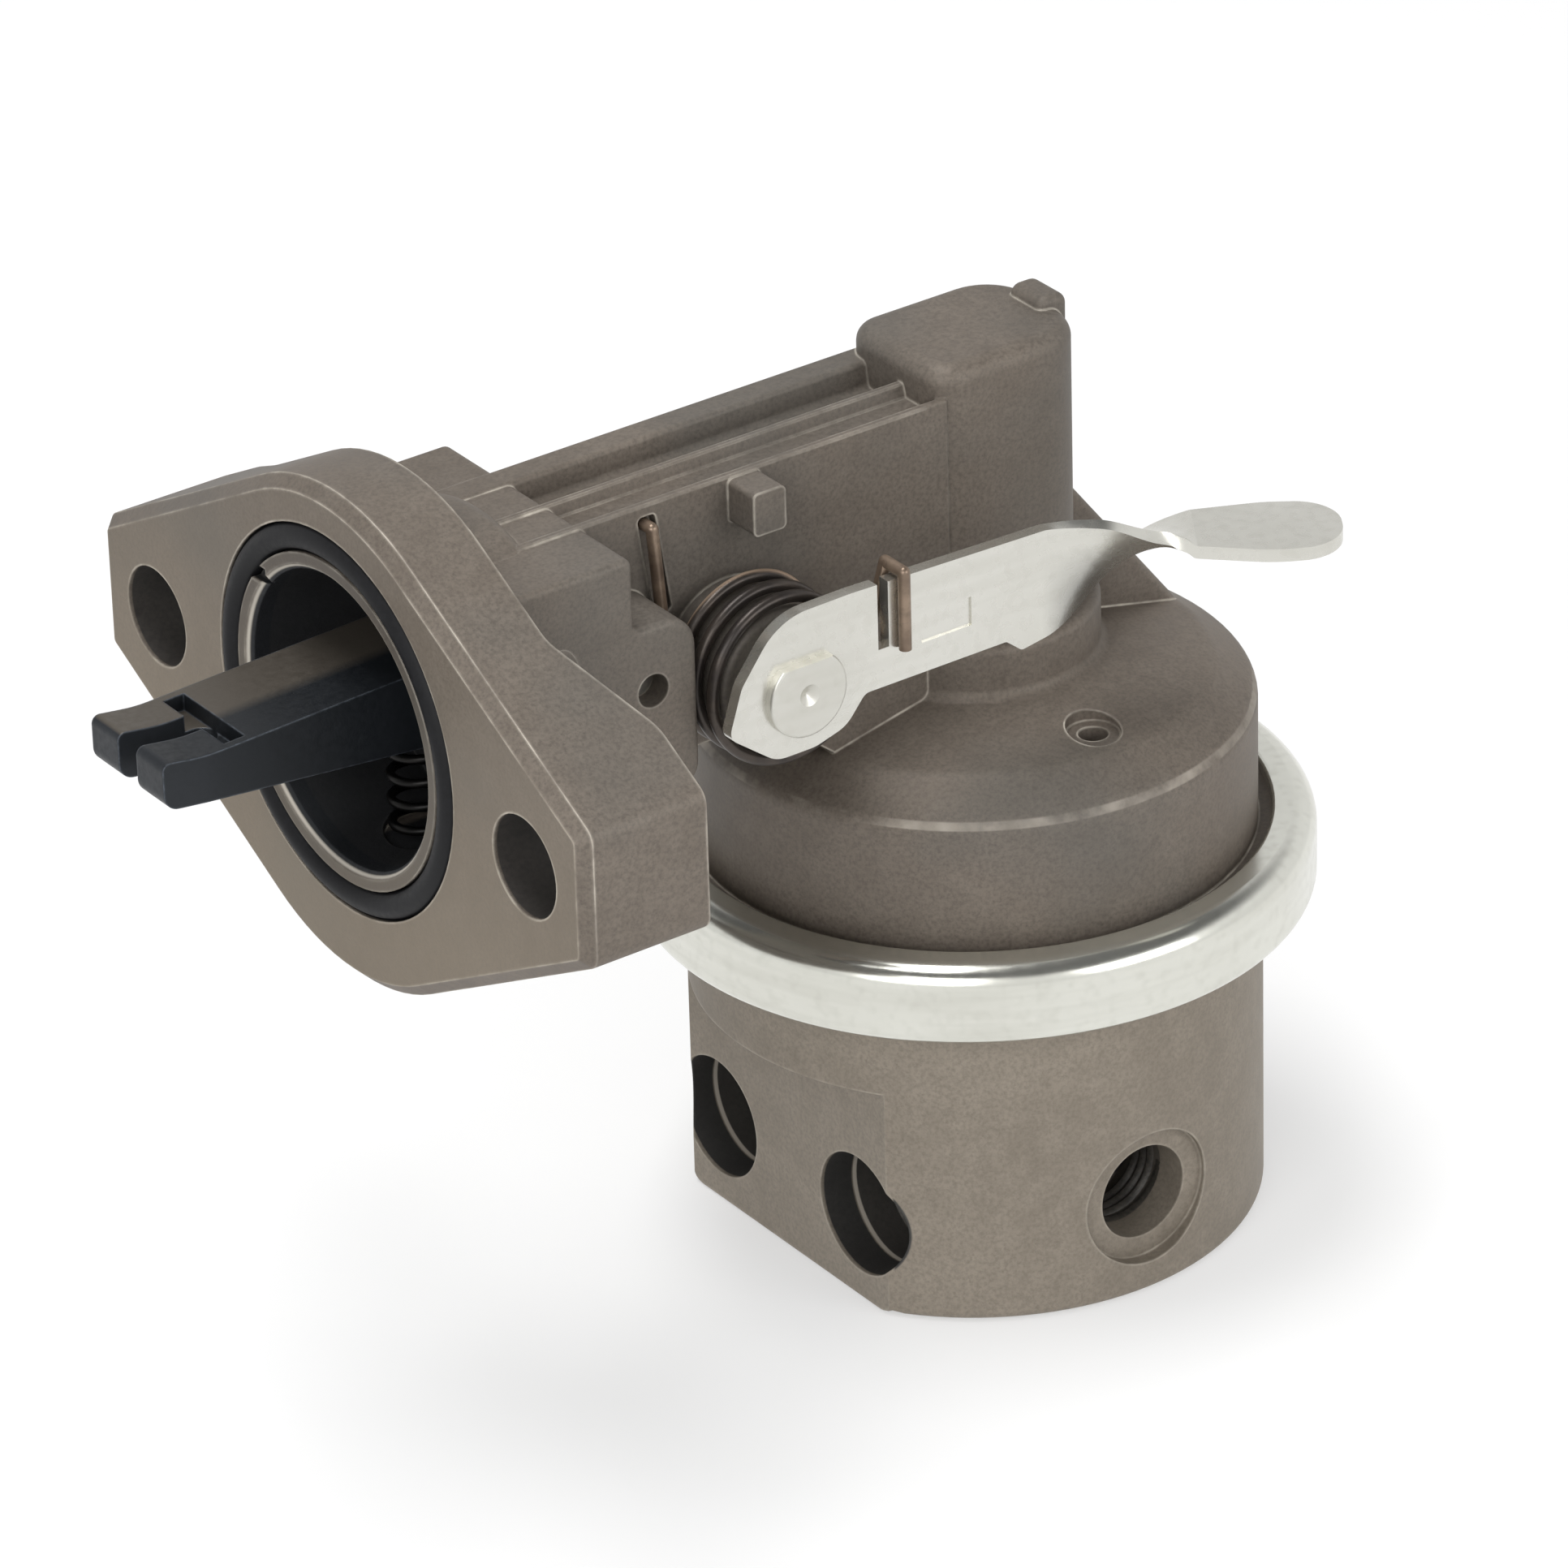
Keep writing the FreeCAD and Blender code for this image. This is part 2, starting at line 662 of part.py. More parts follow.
def rod_seal():
    """Lip seal round the pull rod."""
    bore = pull_rod_radius + seal_lip_gap
    foot = seal_top_z - seal_height
    web = seal_top_z - seal_web
    outer_foot = seal_radius - seal_wall
    edge = seal_edge_round
    return turned_z([(bore, seal_top_z), (seal_radius, seal_top_z), (seal_radius, foot), (outer_foot, foot, edge),
                     (outer_foot - seal_draft, web, edge), (bore + seal_web, web, edge),
                     (bore + seal_lip_width, foot, edge / 2), (bore, foot + seal_lip_width)], dome_x, 0)


def seal_retainer():
    disc = cylinder_z(seal_radius, retainer_bottom_z, retainer_top_z, dome_x, 0)
    hole_radius = pull_rod_radius + retainer_hole_gap
    return disc.cut(cylinder_z(hole_radius, retainer_bottom_z - past_face, retainer_top_z + past_face, dome_x, 0))


def crimp_ring():
    """Rolled channel ring that clamps dome, diaphragm and lower body."""
    inner = clamp_radius + seat_gap
    upper_lip = dome_radius + ring_lip_gap
    lower_lip = body_radius + ring_lip_gap
    return turned_z([(upper_lip, ring_top_z, ring_lip_edge), (ring_outer_radius, ring_top_z, ring_shoulder),
                     (ring_outer_radius, ring_bottom_z, ring_foot_corner), (lower_lip, ring_bottom_z, ring_lip_edge),
                     (lower_lip, ring_bottom_z + ring_wall), (inner, ring_bottom_z + ring_wall),
                     (inner, ring_top_z - ring_wall, clamp_corner), (upper_lip, ring_top_z - ring_wall)],
                    dome_x, 0)


def diaphragm():
    """Fabric-faced rubber disc with one roll between clamp and plates."""
    t = diaphragm_thickness
    hole = pull_rod_radius
    low = stack_z - t
    flat = diaphragm_flat_radius
    roll = diaphragm_roll_radius
    return turned_z([(hole, low), (flat, low, t), (chamber_radius - diaphragm_chamber_gap, lower_flange_z, t),
                     (clamp_radius, lower_flange_z), (clamp_radius, clamp_bottom_z),
                     (roll, clamp_bottom_z, 2 * t), (flat, stack_z, 2 * t), (hole, stack_z)], dome_x, 0)


def pull_rod():
    """Headed rod, its lower end peened over the washer."""
    bottom = stack_z - diaphragm_thickness - plate_thickness - washer_thickness
    top = head_seat_z + rod_head_height
    neck = rod_neck_radius
    peened = neck + rivet_spread
    return turned_z([(0, bottom - rivet_height), (peened, bottom - rivet_height, rivet_round), (peened, bottom),
                     (neck, bottom), (neck, stack_z + plate_thickness), (pull_rod_radius, stack_z + plate_thickness),
                     (pull_rod_radius, head_seat_z), (rod_head_radius, head_seat_z, turned_edge),
                     (rod_head_radius, top, rod_head_round), (0, top)], dome_x, 0)


def upper_plate():
    """Dished plate that also seats the diaphragm spring."""
    neck = rod_neck_radius
    t = plate_thickness
    rim = plate_radius + plate_dish
    rim_z = stack_z + plate_dish
    return turned_z([(neck, stack_z), (plate_radius, stack_z, plate_bend), (rim, rim_z), (rim - t, rim_z),
                     (plate_radius - t / 2, stack_z + t, plate_bend), (neck, stack_z + t)], dome_x, 0)


def lower_plate():
    neck = rod_neck_radius
    top = stack_z - diaphragm_thickness
    t = plate_thickness
    edge = t / 2
    return turned_z([(neck, top - t), (lower_plate_radius, top - t, edge - seat_gap),
                     (lower_plate_radius, top, edge - seat_gap), (neck, top)], dome_x, 0)


def rivet_washer():
    neck = rod_neck_radius
    top = stack_z - diaphragm_thickness - plate_thickness
    return turned_z([(neck, top - washer_thickness), (washer_radius, top - washer_thickness, turned_edge),
                     (washer_radius, top), (neck, top)], dome_x, 0)


def diaphragm_spring():
    return coil_z(pump_spring_radius, pump_spring_wire / 2, stack_z + plate_thickness + seat_gap,
                  ceiling_z - seat_gap, pump_spring_turns, dome_x, 0)


def rocker_arm():
    """Forked lever: side profile cut to a wide fork, a hub and a slotted round nose."""
    px, pz = rocker_pivot_x, rocker_pivot_z
    top = fork_tip_top_z
    tip_bottom = top - fork_tip_height
    saddle_x = (fork_tip_x + fork_slot_end_x) / 2
    h = inner_arm_height / 2
    tall = 20.0
    side = prism_y([(fork_tip_x, top, 0.7), (fork_tip_x, tip_bottom, fork_tip_corner),
                    (fork_tip_x + 4, tip_bottom - 0.5, 3), (fork_root_x, fork_root_bottom_z, 6),
                    (px - 2, pz - rocker_hub_radius, 3), (px + 2.5, pz - rocker_hub_radius + 0.4, 3),
                    (inner_arm_rise_x - 3.5, inner_arm_rise_z - h, 5),
                    (dome_x - 6, nose_z - nose_radius + 0.4, 8), (dome_x, nose_z - nose_radius + 0.8),
                    (dome_x, nose_z + nose_radius - 0.8), (dome_x - 6, nose_z + nose_radius - 0.9, 8),
                    (inner_arm_rise_x, inner_arm_rise_z + h, 12), (px, pz + rocker_hub_radius + 0.4, 8),
                    (fork_root_x, top + 0.3, 10), (saddle_x, top - fork_saddle_depth, 14)],
                   -fork_half_width, fork_half_width)
    nose = cylinder_y(nose_radius, -fork_half_width, fork_half_width, dome_x, nose_z)
    solid = side.fuse(nose)
    plan = prism_z([(fork_tip_x - 1, -fork_half_width), (fork_root_x, -fork_half_width, 2),
                    (fork_neck_x, -inner_arm_half_width, 2), (dome_x + 5, -inner_arm_half_width),
                    (dome_x + 5, inner_arm_half_width), (fork_neck_x, inner_arm_half_width, 2),
                    (fork_root_x, fork_half_width, 2), (fork_tip_x - 1, fork_half_width)], -tall, tall)
    solid = solid.common(plan)
    slot_half = fork_slot_width / 2
    slot = prism_z([(fork_tip_x - 1, -slot_half), (fork_slot_end_x, -slot_half, slot_half - 0.05),
                    (fork_slot_end_x, slot_half, slot_half - 0.05), (fork_tip_x - 1, slot_half)], -tall, tall)
    step_floor = top - fork_saddle_depth - fork_step_depth
    step = box(fork_slot_end_x - fork_step_width, fork_slot_end_x, -fork_step_half_length, fork_step_half_length,
               step_floor, top + 2)
    rod_slot = prism_z([(dome_x - 3.2, -nose_slot_width / 2, 2), (dome_x + 5, -nose_slot_width / 2),
                        (dome_x + 5, nose_slot_width / 2), (dome_x - 3.2, nose_slot_width / 2, 2)], -tall, tall)
    solid = solid.cut([slot, step, rod_slot])
    pad = cylinder_z(return_pad_radius, fork_root_bottom_z - return_pad_drop, fork_root_bottom_z + 2,
                     return_spring_x, 0)
    solid = solid.fuse(pad)
    bore = cylinder_y(rocker_pin_radius + running_fit, -10, 10, px, pz)
    return solid.cut(bore).removeSplitter()


def return_spring():
    return coil_z(return_spring_radius, return_spring_wire / 2, return_seat_z + seat_gap,
                  fork_root_bottom_z - 0.35, return_spring_turns, return_spring_x, 0)


def prime_shaft():
    """Priming shaft: bearing length with a seal groove, half-moon cam, pilot end and staked D-shaped head."""
    r = prime_shaft_radius
    groove_bottom = r - shaft_seal_depth
    a, b = shaft_seal_y - shaft_seal_width / 2, shaft_seal_y + shaft_seal_width / 2
    cam_end = cavity_half_width - body_gap
    bearing_end = -cavity_half_width
    corners = [(0, lever_back_y), (r, lever_back_y), (r, a), (groove_bottom, a), (groove_bottom, b), (r, b),
               (r, bearing_end), (cam_radius, bearing_end), (cam_radius, cam_end),
               (prime_pilot_radius, cam_end), (prime_pilot_radius, cavity_half_width + prime_pilot_length - 0.2, 0.3),
               (0, cavity_half_width + prime_pilot_length - 0.2)]
    shaft = turned_y(corners, prime_x, prime_z)
    above = prime_z + cam_flat_height
    wide = 2 * r
    shaft = shaft.cut(box(prime_x - wide, prime_x + wide, bearing_end, cam_end, above, above + wide))
    tenon = cylinder_y(stake_neck_radius, lever_face_y, lever_back_y, prime_x, prime_z)
    head = turned_y([(0, lever_face_y), (stake_radius, lever_face_y), (stake_radius, lever_face_y - stake_height, 0.3),
                     (0, lever_face_y - stake_height)], prime_x, prime_z)
    head = head.fuse(tenon)
    flat = prime_z + stake_flat_height
    head = head.cut(box(prime_x - wide, prime_x + wide, lever_face_y - 2 * stake_height, lever_back_y, flat,
                        flat + wide))
    dimple = Part.makeCone(stake_dimple_radius, 0.1, 0.5, V(prime_x, lever_face_y - stake_height, prime_z), Y_AXIS)
    return shaft.fuse(head).cut(dimple)


def shaft_seal():
    mean = prime_shaft_radius - shaft_seal_depth / 2 - seat_gap
    return Part.makeTorus(mean, shaft_seal_depth / 2 - seat_gap, V(prime_x, shaft_seal_y, prime_z), Y_AXIS)


def strip_section(centre, heading, roll, width):
    """Rectangle across the lever strip, which runs at a heading in plan and is rolled about its own length."""
    aside = V(-math.sin(heading), math.cos(heading), 0)
    forward = V(math.cos(heading), math.sin(heading), 0)
    wide = Z_AXIS * math.cos(roll) - aside * math.sin(roll)
    a = wide * (width / 2)
    b = forward.cross(wide) * (lever_thickness / 2)
    points = [centre + a + b, centre - a + b, centre - a - b, centre + a - b]
    return Part.makePolygon(points + [points[0]])


def smooth_step(value, start, end):
    """0 before start, 1 after end and an even S-curve between them."""
    t = min(1.0, max(0.0, (value - start) / (end - start)))
    return t * t * (3 - 2 * t)


def twist_path():
    """Plan of the twisted strip: straight, then an arc to the tab's heading. Gives lengths and a place function."""
    heading = math.radians(tab_heading)
    reach = twist_bend_radius * math.tan(abs(heading) / 2)
    straight = twist_bend_x - reach - lever_blade_end_x
    total = straight + twist_bend_radius * abs(heading)

    def place(length):
        if length <= straight:
            return lever_blade_end_x + length, lever_y, 0.0
        turned = (length - straight) / twist_bend_radius
        x = lever_blade_end_x + straight + twist_bend_radius * math.sin(turned)
        y = lever_y - twist_bend_radius * (1 - math.cos(turned))
        return x, y, -turned

    return total, place


def lever_twist():
    """The strip turns a quarter about its length and narrows as it bends outward to the tab."""
    total, place = twist_path()
    blade_width = lever_top_z - lever_end_bottom_z
    blade_z = (lever_top_z + lever_end_bottom_z) / 2
    sections = []
    for i in range(twist_steps + 1):
        s = i / twist_steps
        x, y, heading = place(total * s)
        narrowed = smooth_step(s, twist_narrow_start, twist_narrow_end)
        width = blade_width + (neck_width - blade_width) * narrowed
        centre = V(x, y, blade_z + (tab_z - blade_z) * s)
        sections.append(strip_section(centre, heading, math.radians(90) * s ** twist_delay, width))
    return Part.makeLoft(sections, True, False)


def lever_tab():
    """Spoon-shaped thumb tab that goes on from the neck."""
    total, place = twist_path()
    x, y, _ = place(total)
    half = tab_width / 2
    end = tab_end_width / 2
    waist = neck_width / 2
    middle = tab_length / 2
    tab = prism_z([(0, -waist), (middle, -half - tab_lean, tab_side_radius), (tab_length, -end - tab_lean, end - 0.1),
                   (tab_length, end - tab_lean, end - 0.1), (middle, half - tab_lean, tab_side_radius), (0, waist)],
                  -lever_thickness / 2, lever_thickness / 2)
    tab.rotate(V(0, 0, 0), Z_AXIS, tab_heading)
    tab.translate(V(x, y, tab_z))
    return tab


def prime_lever():
    x, z = prime_x, prime_z
    crown = lever_top_z + lever_crown_rise
    sole = z - lever_eye_radius + 1.4
    blade = prism_y([(x - lever_eye_radius - 0.8, z - 1.9, 1.2), (x - lever_eye_radius + 0.6, z + 2.4, 3),
                     (x - 2.4, crown - 0.1, 6), (x + 5, crown, 8),
                     (lever_blade_end_x, lever_top_z), (lever_blade_end_x, lever_end_bottom_z),
                     (lever_step_x + 1.6, lever_step_z, 0.6), (lever_step_x, lever_bottom_z, 0.5),
                     (x + 6.2, lever_bottom_z, 1.0), (x + 4.2, z - 4.6, 3), (x + 1, sole, 3.5),
                     (x - 3, sole, 3)], lever_face_y, lever_back_y)
    shape = blade.fuse([lever_twist(), lever_tab()])
    hole = cylinder_y(stake_neck_radius, lever_face_y - past_face, lever_back_y + past_face, x, z)
    flat = z + stake_flat_height
    hole = hole.cut(box(x - 2 * stake_radius, x + 2 * stake_radius, lever_face_y - 2 * past_face,
                        lever_back_y + 2 * past_face, flat, flat + stake_radius))
    slot = box(lever_slot_x - lever_slot_width / 2, lever_slot_x + lever_slot_width / 2, lever_face_y - past_face,
               lever_back_y + past_face, lever_top_z - lever_slot_depth, crown + past_face)
    coin = box(x + coin_left, x + coin_left + coin_length, lever_face_y - past_face, lever_face_y + coin_depth,
               z + coin_bottom, z + coin_bottom + coin_height)
    return shape.cut([hole, slot, coin])


def swept_round(points, radius):
    """Round bar through points, with ball joints at the bends."""
    solids = []
    for a, b in zip(points, points[1:]):
        solids.append(Part.makeCylinder(radius, (b - a).Length, a, b - a))
    for p in points[1:-1]:
        solids.append(Part.makeSphere(radius, p))
    return solids[0].fuse(solids[1:])


def prime_spring():
    """Torsion spring: coil round the boss, one leg bent into the casting's slot, one hooked over the lever."""
    r = coil_wire / 2
    hook_top_z = lever_top_z + lever_crown_rise + r + seat_gap
    back_y = lever_back_y + r + body_gap
    front_y = lever_face_y - r - seat_gap
    away = math.hypot(hook_x - prime_x, hook_top_z - prime_z)
    leave = math.atan2(hook_top_z - prime_z, hook_x - prime_x) - math.acos(coil_radius / away)
    turns = coil_whole_turns + (math.pi + leave) / (2 * math.pi)
    height = leg_y - back_y
    helix = Part.makeLongHelix(height / turns, height, coil_radius, 0)
    profile = Part.Wire(Part.makeCircle(r, V(coil_radius, 0, 0), Y_AXIS))
    coil = Part.Wire(helix.Edges).makePipeShell([profile], True, True)
    coil.rotate(V(0, 0, 0), Z_AXIS, 180)
    coil.rotate(V(0, 0, 0), X_AXIS, 90)
    coil.translate(V(prime_x, leg_y, prime_z))
    leg_x = prime_x - coil_radius
    leg = swept_round([V(leg_x, leg_y, prime_z), V(leg_x, leg_y, leg_bend_z), V(leg_top_x, leg_y, leg_top_z),
                       V(leg_top_x, -arm_half_width + leg_slot_depth - r - 0.1, leg_top_z)], r)
    leave_x = prime_x + coil_radius * math.cos(leave)
    leave_z = prime_z + coil_radius * math.sin(leave)
    hook = swept_round([V(leave_x, back_y, leave_z), V(hook_x, back_y, hook_top_z), V(hook_x, front_y, hook_top_z),
                        V(hook_x, front_y, hook_top_z - hook_length)], r)
    return coil.fuse([leg, hook])


def lower_body():
    """Ported valve body: chamber, valve pockets, two ports in the flat and a third port at the side."""
    top = lower_flange_z
    foot = top - lower_flange_thickness
    solid = turned_z([(0, body_bottom_z), (body_radius, body_bottom_z, body_bottom_chamfer), (body_radius, foot, 0.4),
                      (clamp_radius, foot), (clamp_radius, top), (0, top)], dome_x, 0)
    cuts = [box(dome_x - body_radius - 5, flat_x, -body_radius, body_radius, body_bottom_z - 1, flat_top_z),
            cylinder_z(chamber_radius, chamber_floor_z, top + 1, dome_x, 0)]
    for side in (-1, 1):
        y = side * port_y
        shelf = outlet_ledge_z if side < 0 else pocket_floor_z
        narrow = pocket_radius - outlet_ledge_width if side < 0 else pocket_radius
        cuts.append(cylinder_z(pocket_radius, shelf, chamber_floor_z + 1, dome_x, y))
        cuts.append(cylinder_z(narrow, pocket_floor_z, chamber_floor_z + 1, dome_x, y))
        cuts.append(cylinder_z(throat_radius, port_z, pocket_floor_z + 1, dome_x, y))
        cuts.append(cylinder_x(port_radius, flat_x - 6, flat_x + port_thread_depth, y, port_z))
        cuts.append(cylinder_x(port_gallery_radius, flat_x, dome_x + port_gallery_end, y, port_z))
    cuts.append(cylinder_y(side_port_radius, -body_radius - 1, side_spot_y + side_thread_depth, dome_x, side_port_z))
    cuts.append(cylinder_y(side_gallery_radius, side_spot_y, -port_y, dome_x, side_port_z))
    cuts.append(cylinder_y(side_spot_radius, -body_radius - 1, side_spot_y, dome_x, side_port_z))
    return solid.cut(cuts)


def valve(face_z, way, y):
    """Seat plate, stem, disc and spring of one valve. The disc sits on face_z and opens along way."""
    back = face_z - way * seat_plate_thickness
    low, high = sorted((face_z, back))
    plate = cylinder_z(pocket_radius, low, high, dome_x, y)
    holes = [cylinder_z(valve_stem_radius, low - 1, high + 1, dome_x, y)]
    for i in range(seat_hole_count):
        angle = 2 * math.pi * i / seat_hole_count
        holes.append(cylinder_z(seat_hole_radius, low - 1, high + 1, dome_x + seat_hole_circle * math.cos(angle),
                                y + seat_hole_circle * math.sin(angle)))
    plate = plate.cut(holes)
    disc_start = face_z + way * seat_gap
    disc_end = disc_start + way * disc_thickness
    head_start = disc_end + way * valve_spring_length
    head_end = head_start + way * stem_head_height
    low, high = sorted((back, head_end))
    stem = cylinder_z(valve_stem_radius, low, high, dome_x, y)
    low, high = sorted((head_start, head_end))
    stem = stem.fuse(cylinder_z(stem_head_radius, low, high, dome_x, y)).removeSplitter()
    low, high = sorted((disc_start, disc_end))
    disc = cylinder_z(disc_radius, low, high, dome_x, y)
    disc = disc.cut(cylinder_z(valve_stem_radius + valve_lift_clearance, low - 1, high + 1, dome_x, y))
    low, high = sorted((disc_end + way * seat_gap, head_start - way * seat_gap))
    spring = coil_z(valve_spring_radius, valve_spring_wire / 2, low, high, valve_spring_turns, dome_x, y)
    return {"seat": plate, "stem": stem, "disc": disc, "spring": spring}


def parts():
    pieces = {
        "upper_housing": upper_housing(),
        "flange_seal": flange_seal(),
        "rocker_pin": rocker_pin(),
        "rod_seal": rod_seal(),
        "seal_retainer": seal_retainer(),
        "crimp_ring": crimp_ring(),
        "lower_body": lower_body(),
        "diaphragm": diaphragm(),
        "pull_rod": pull_rod(),
        "upper_plate": upper_plate(),
        "lower_plate": lower_plate(),
        "rivet_washer": rivet_washer(),
        "diaphragm_spring": diaphragm_spring(),
        "rocker_arm": rocker_arm(),
        "return_spring": return_spring(),
        "prime_shaft": prime_shaft(),
        "shaft_seal": shaft_seal(),
        "prime_lever": prime_lever(),
        "prime_spring": prime_spring(),
    }
    inlet_face = pocket_floor_z + seat_plate_thickness
    for name, face, way, y in (("inlet", inlet_face, 1, port_y), ("outlet", outlet_ledge_z, -1, -port_y)):
        for piece, shape in valve(face, way, y).items():
            pieces[name + "_valve_" + piece] = shape
    return pieces


os.makedirs("parts", exist_ok=True)
for node, shape in parts().items():
    if len(shape.Solids) != 1 or not shape.isValid():
        print("check", node, len(shape.Solids), shape.isValid())
    solid = shape.Solids[0] if len(shape.Solids) == 1 else shape
    solid.exportStep("parts/" + node + ".step")
    size = solid.BoundBox
    print(node, round(solid.Volume, 1), [round(v, 2) for v in (size.XMin, size.XMax, size.YMin, size.YMax,
                                                               size.ZMin, size.ZMax)])
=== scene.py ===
import bmesh
import bpy
import math
from mathutils import Matrix, Vector


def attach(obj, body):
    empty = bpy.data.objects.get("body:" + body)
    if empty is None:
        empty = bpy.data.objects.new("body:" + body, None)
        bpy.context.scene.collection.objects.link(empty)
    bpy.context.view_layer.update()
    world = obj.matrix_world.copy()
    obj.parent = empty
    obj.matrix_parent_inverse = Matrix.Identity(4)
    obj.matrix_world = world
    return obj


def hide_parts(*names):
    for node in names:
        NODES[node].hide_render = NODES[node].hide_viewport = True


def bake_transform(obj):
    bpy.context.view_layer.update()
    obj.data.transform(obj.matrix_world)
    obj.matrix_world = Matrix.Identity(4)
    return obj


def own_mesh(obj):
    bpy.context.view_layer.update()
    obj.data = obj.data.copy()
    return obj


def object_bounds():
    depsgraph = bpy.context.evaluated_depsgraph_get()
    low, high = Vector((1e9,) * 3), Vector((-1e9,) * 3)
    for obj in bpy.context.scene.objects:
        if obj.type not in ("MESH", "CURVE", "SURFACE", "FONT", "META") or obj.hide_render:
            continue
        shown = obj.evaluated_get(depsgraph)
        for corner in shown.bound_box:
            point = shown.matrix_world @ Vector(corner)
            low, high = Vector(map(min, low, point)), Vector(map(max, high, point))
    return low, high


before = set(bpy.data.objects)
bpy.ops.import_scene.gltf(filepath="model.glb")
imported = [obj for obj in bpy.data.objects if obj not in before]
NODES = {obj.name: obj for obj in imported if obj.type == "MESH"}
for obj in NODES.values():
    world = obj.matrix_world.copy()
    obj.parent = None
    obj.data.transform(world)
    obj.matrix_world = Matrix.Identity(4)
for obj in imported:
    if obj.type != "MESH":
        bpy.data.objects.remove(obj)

cad_low, cad_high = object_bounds()
MM = 0.001

# Camera of the photograph, in the part's own frame, metres
CAMERA_POSITION = Vector((-0.373621, -0.599886, 0.381070))
CAMERA_RIGHT = Vector((0.811862, -0.583301, -0.025298))
CAMERA_DOWN = Vector((-0.299229, -0.378491, -0.875903))
CAMERA_FORWARD = Vector((0.501340, 0.718682, -0.481823))
FOCAL_PIXELS = 12000.0
FRAME_PIXELS = 1932.0
SENSOR_WIDTH = 36.0
CLIP_START = 0.01
CLIP_END = 20.0

# White floor under the valve body
FLOOR_SIZE = 6.0
FLOOR_CENTRE = (0.3, 0.5)
FLOOR_GAP = 0.2 * MM
FLOOR_WHITE = (0.93, 0.93, 0.93)
FLOOR_GLOW = 0.45

# Light from all round, and the pale room with its darker ceiling that glossy metal mirrors
WHITE = (1.0, 1.0, 1.0)
SKY_LIGHT = 0.50
ROOM_LIGHT = 0.86
CEILING_LIGHT = 0.06
CEILING_START = 0.50
CEILING_END = 0.72

# Soft lamps, all aimed at the middle of the part: name, place, width and height, watts
LAMP_TARGET = (0.04, 0.0, -0.02)
LAMPS = (
    ("top_light", (-0.05, 0.10, 0.75), (0.5, 0.25), 3.9),
    ("front_light", (-0.55, -0.45, 0.35), (0.5, 0.5), 2.65),
    ("side_light", (0.30, -0.72, 0.30), (0.5, 0.4), 2.0),
)

# Colours of the surfaces, as linear values
CASTING = (0.152, 0.127, 0.103)
CASTING_DARK = (0.080, 0.066, 0.054)
CASTING_LIGHT = (0.205, 0.175, 0.145)
# Pale casting colour, for worn edges and for painted highlights
CASTING_WEAR_AND_HIGHLIGHT = (0.60, 0.55, 0.47)
CASTING_FACE = (0.275, 0.228, 0.163)
BODY = (0.220, 0.190, 0.152)
BODY_DARK = (0.138, 0.116, 0.091)
BODY_LIGHT = (0.310, 0.271, 0.221)
OIL_FILM = (0.072, 0.078, 0.076)
MACHINED = (0.58, 0.54, 0.47)
# Painted shade, laid into bores, holes, ports, the seal groove, the lever coil's front turns and beside the
# lever's twist
PAINTED_SHADE = (0.016, 0.018, 0.021)
# Thread colours, painted dark for the shade down in the ports
THREAD_DARK = (0.030, 0.028, 0.024)
THREAD_LIGHT = (0.062, 0.055, 0.046)
RING_ZINC = (0.74, 0.74, 0.68)
LEVER_ZINC = (0.70, 0.69, 0.64)
SHAFT_ZINC = (0.66, 0.65, 0.60)
DULL_ZINC = (0.52, 0.51, 0.45)
STEEL = (0.50, 0.49, 0.45)
STEEL_DARK = (0.30, 0.29, 0.27)
BLACK_STEEL = (0.017, 0.020, 0.024)
BLACK_STEEL_LIGHT = (0.030, 0.033, 0.040)
BLACK_STEEL_TOP_SHEEN = (0.105, 0.090, 0.072)
BLACK_STEEL_WEAR_AND_HIGHLIGHT = (0.13, 0.15, 0.18)
WIRE_LIGHT = (0.30, 0.225, 0.165)
WIRE_DARK = (0.085, 0.058, 0.042)
# Painted highlight for the lever coil's last turn
WIRE_PAINTED_HIGHLIGHT = (0.62, 0.46, 0.34)
# Return spring wire, painted near black for the shade down in the bore
SHADE_DARKENED_WIRE_LIGHT = (0.016, 0.015, 0.014)
SHADE_DARKENED_WIRE_DARK = (0.007, 0.007, 0.007)
PLATING_YELLOW = (0.55, 0.52, 0.40)
PLATING_GREEN = (0.44, 0.45, 0.38)
SEAL_RUBBER = (0.006, 0.006, 0.007)
DISC_RUBBER = (0.02, 0.019, 0.017)
CLOTH_DARK = (0.02, 0.018, 0.016)
CLOTH_LIGHT = (0.055, 0.05, 0.045)
BRASS_LIGHT = (0.52, 0.36, 0.13)
BRASS_DARK = (0.40, 0.28, 0.11)

# Width over which one shade goes over into the next, and a length that reaches past everything
BLUR = 0.12 * MM
DEEP = 90.0 * MM

# Flange: places along X are measured from its mounting face
BORE_AXIS = (0, 0, 0)
FACE_START = -1.0 * MM
FACE_END = 0.1 * MM
FACE_SHADE_Z = 15.0 * MM
BORE_RADIUS = 13.1 * MM
BORE_LEAD_IN = 0.6 * MM
BORE_DEPTH = 12.6 * MM
RIM_RADIUS = BORE_RADIUS + BORE_LEAD_IN
RIM_START = 0.1 * BORE_LEAD_IN
RIM_END = 0.65 * BORE_LEAD_IN
BORE_SHADE_END = BORE_DEPTH + 1.0 * MM
GROOVE_RADIUS = 14.7 * MM
GROOVE_WIDTH = 3.0 * MM
GROOVE_START = 0.25 * MM
GROOVE_END = 2.2 * MM
BOLT_Y = 27.5 * MM
BOLT_Z = -1.5 * MM
BOLT_RADIUS = 4.5 * MM
BOLT_SHADE_START = 0.3 * MM

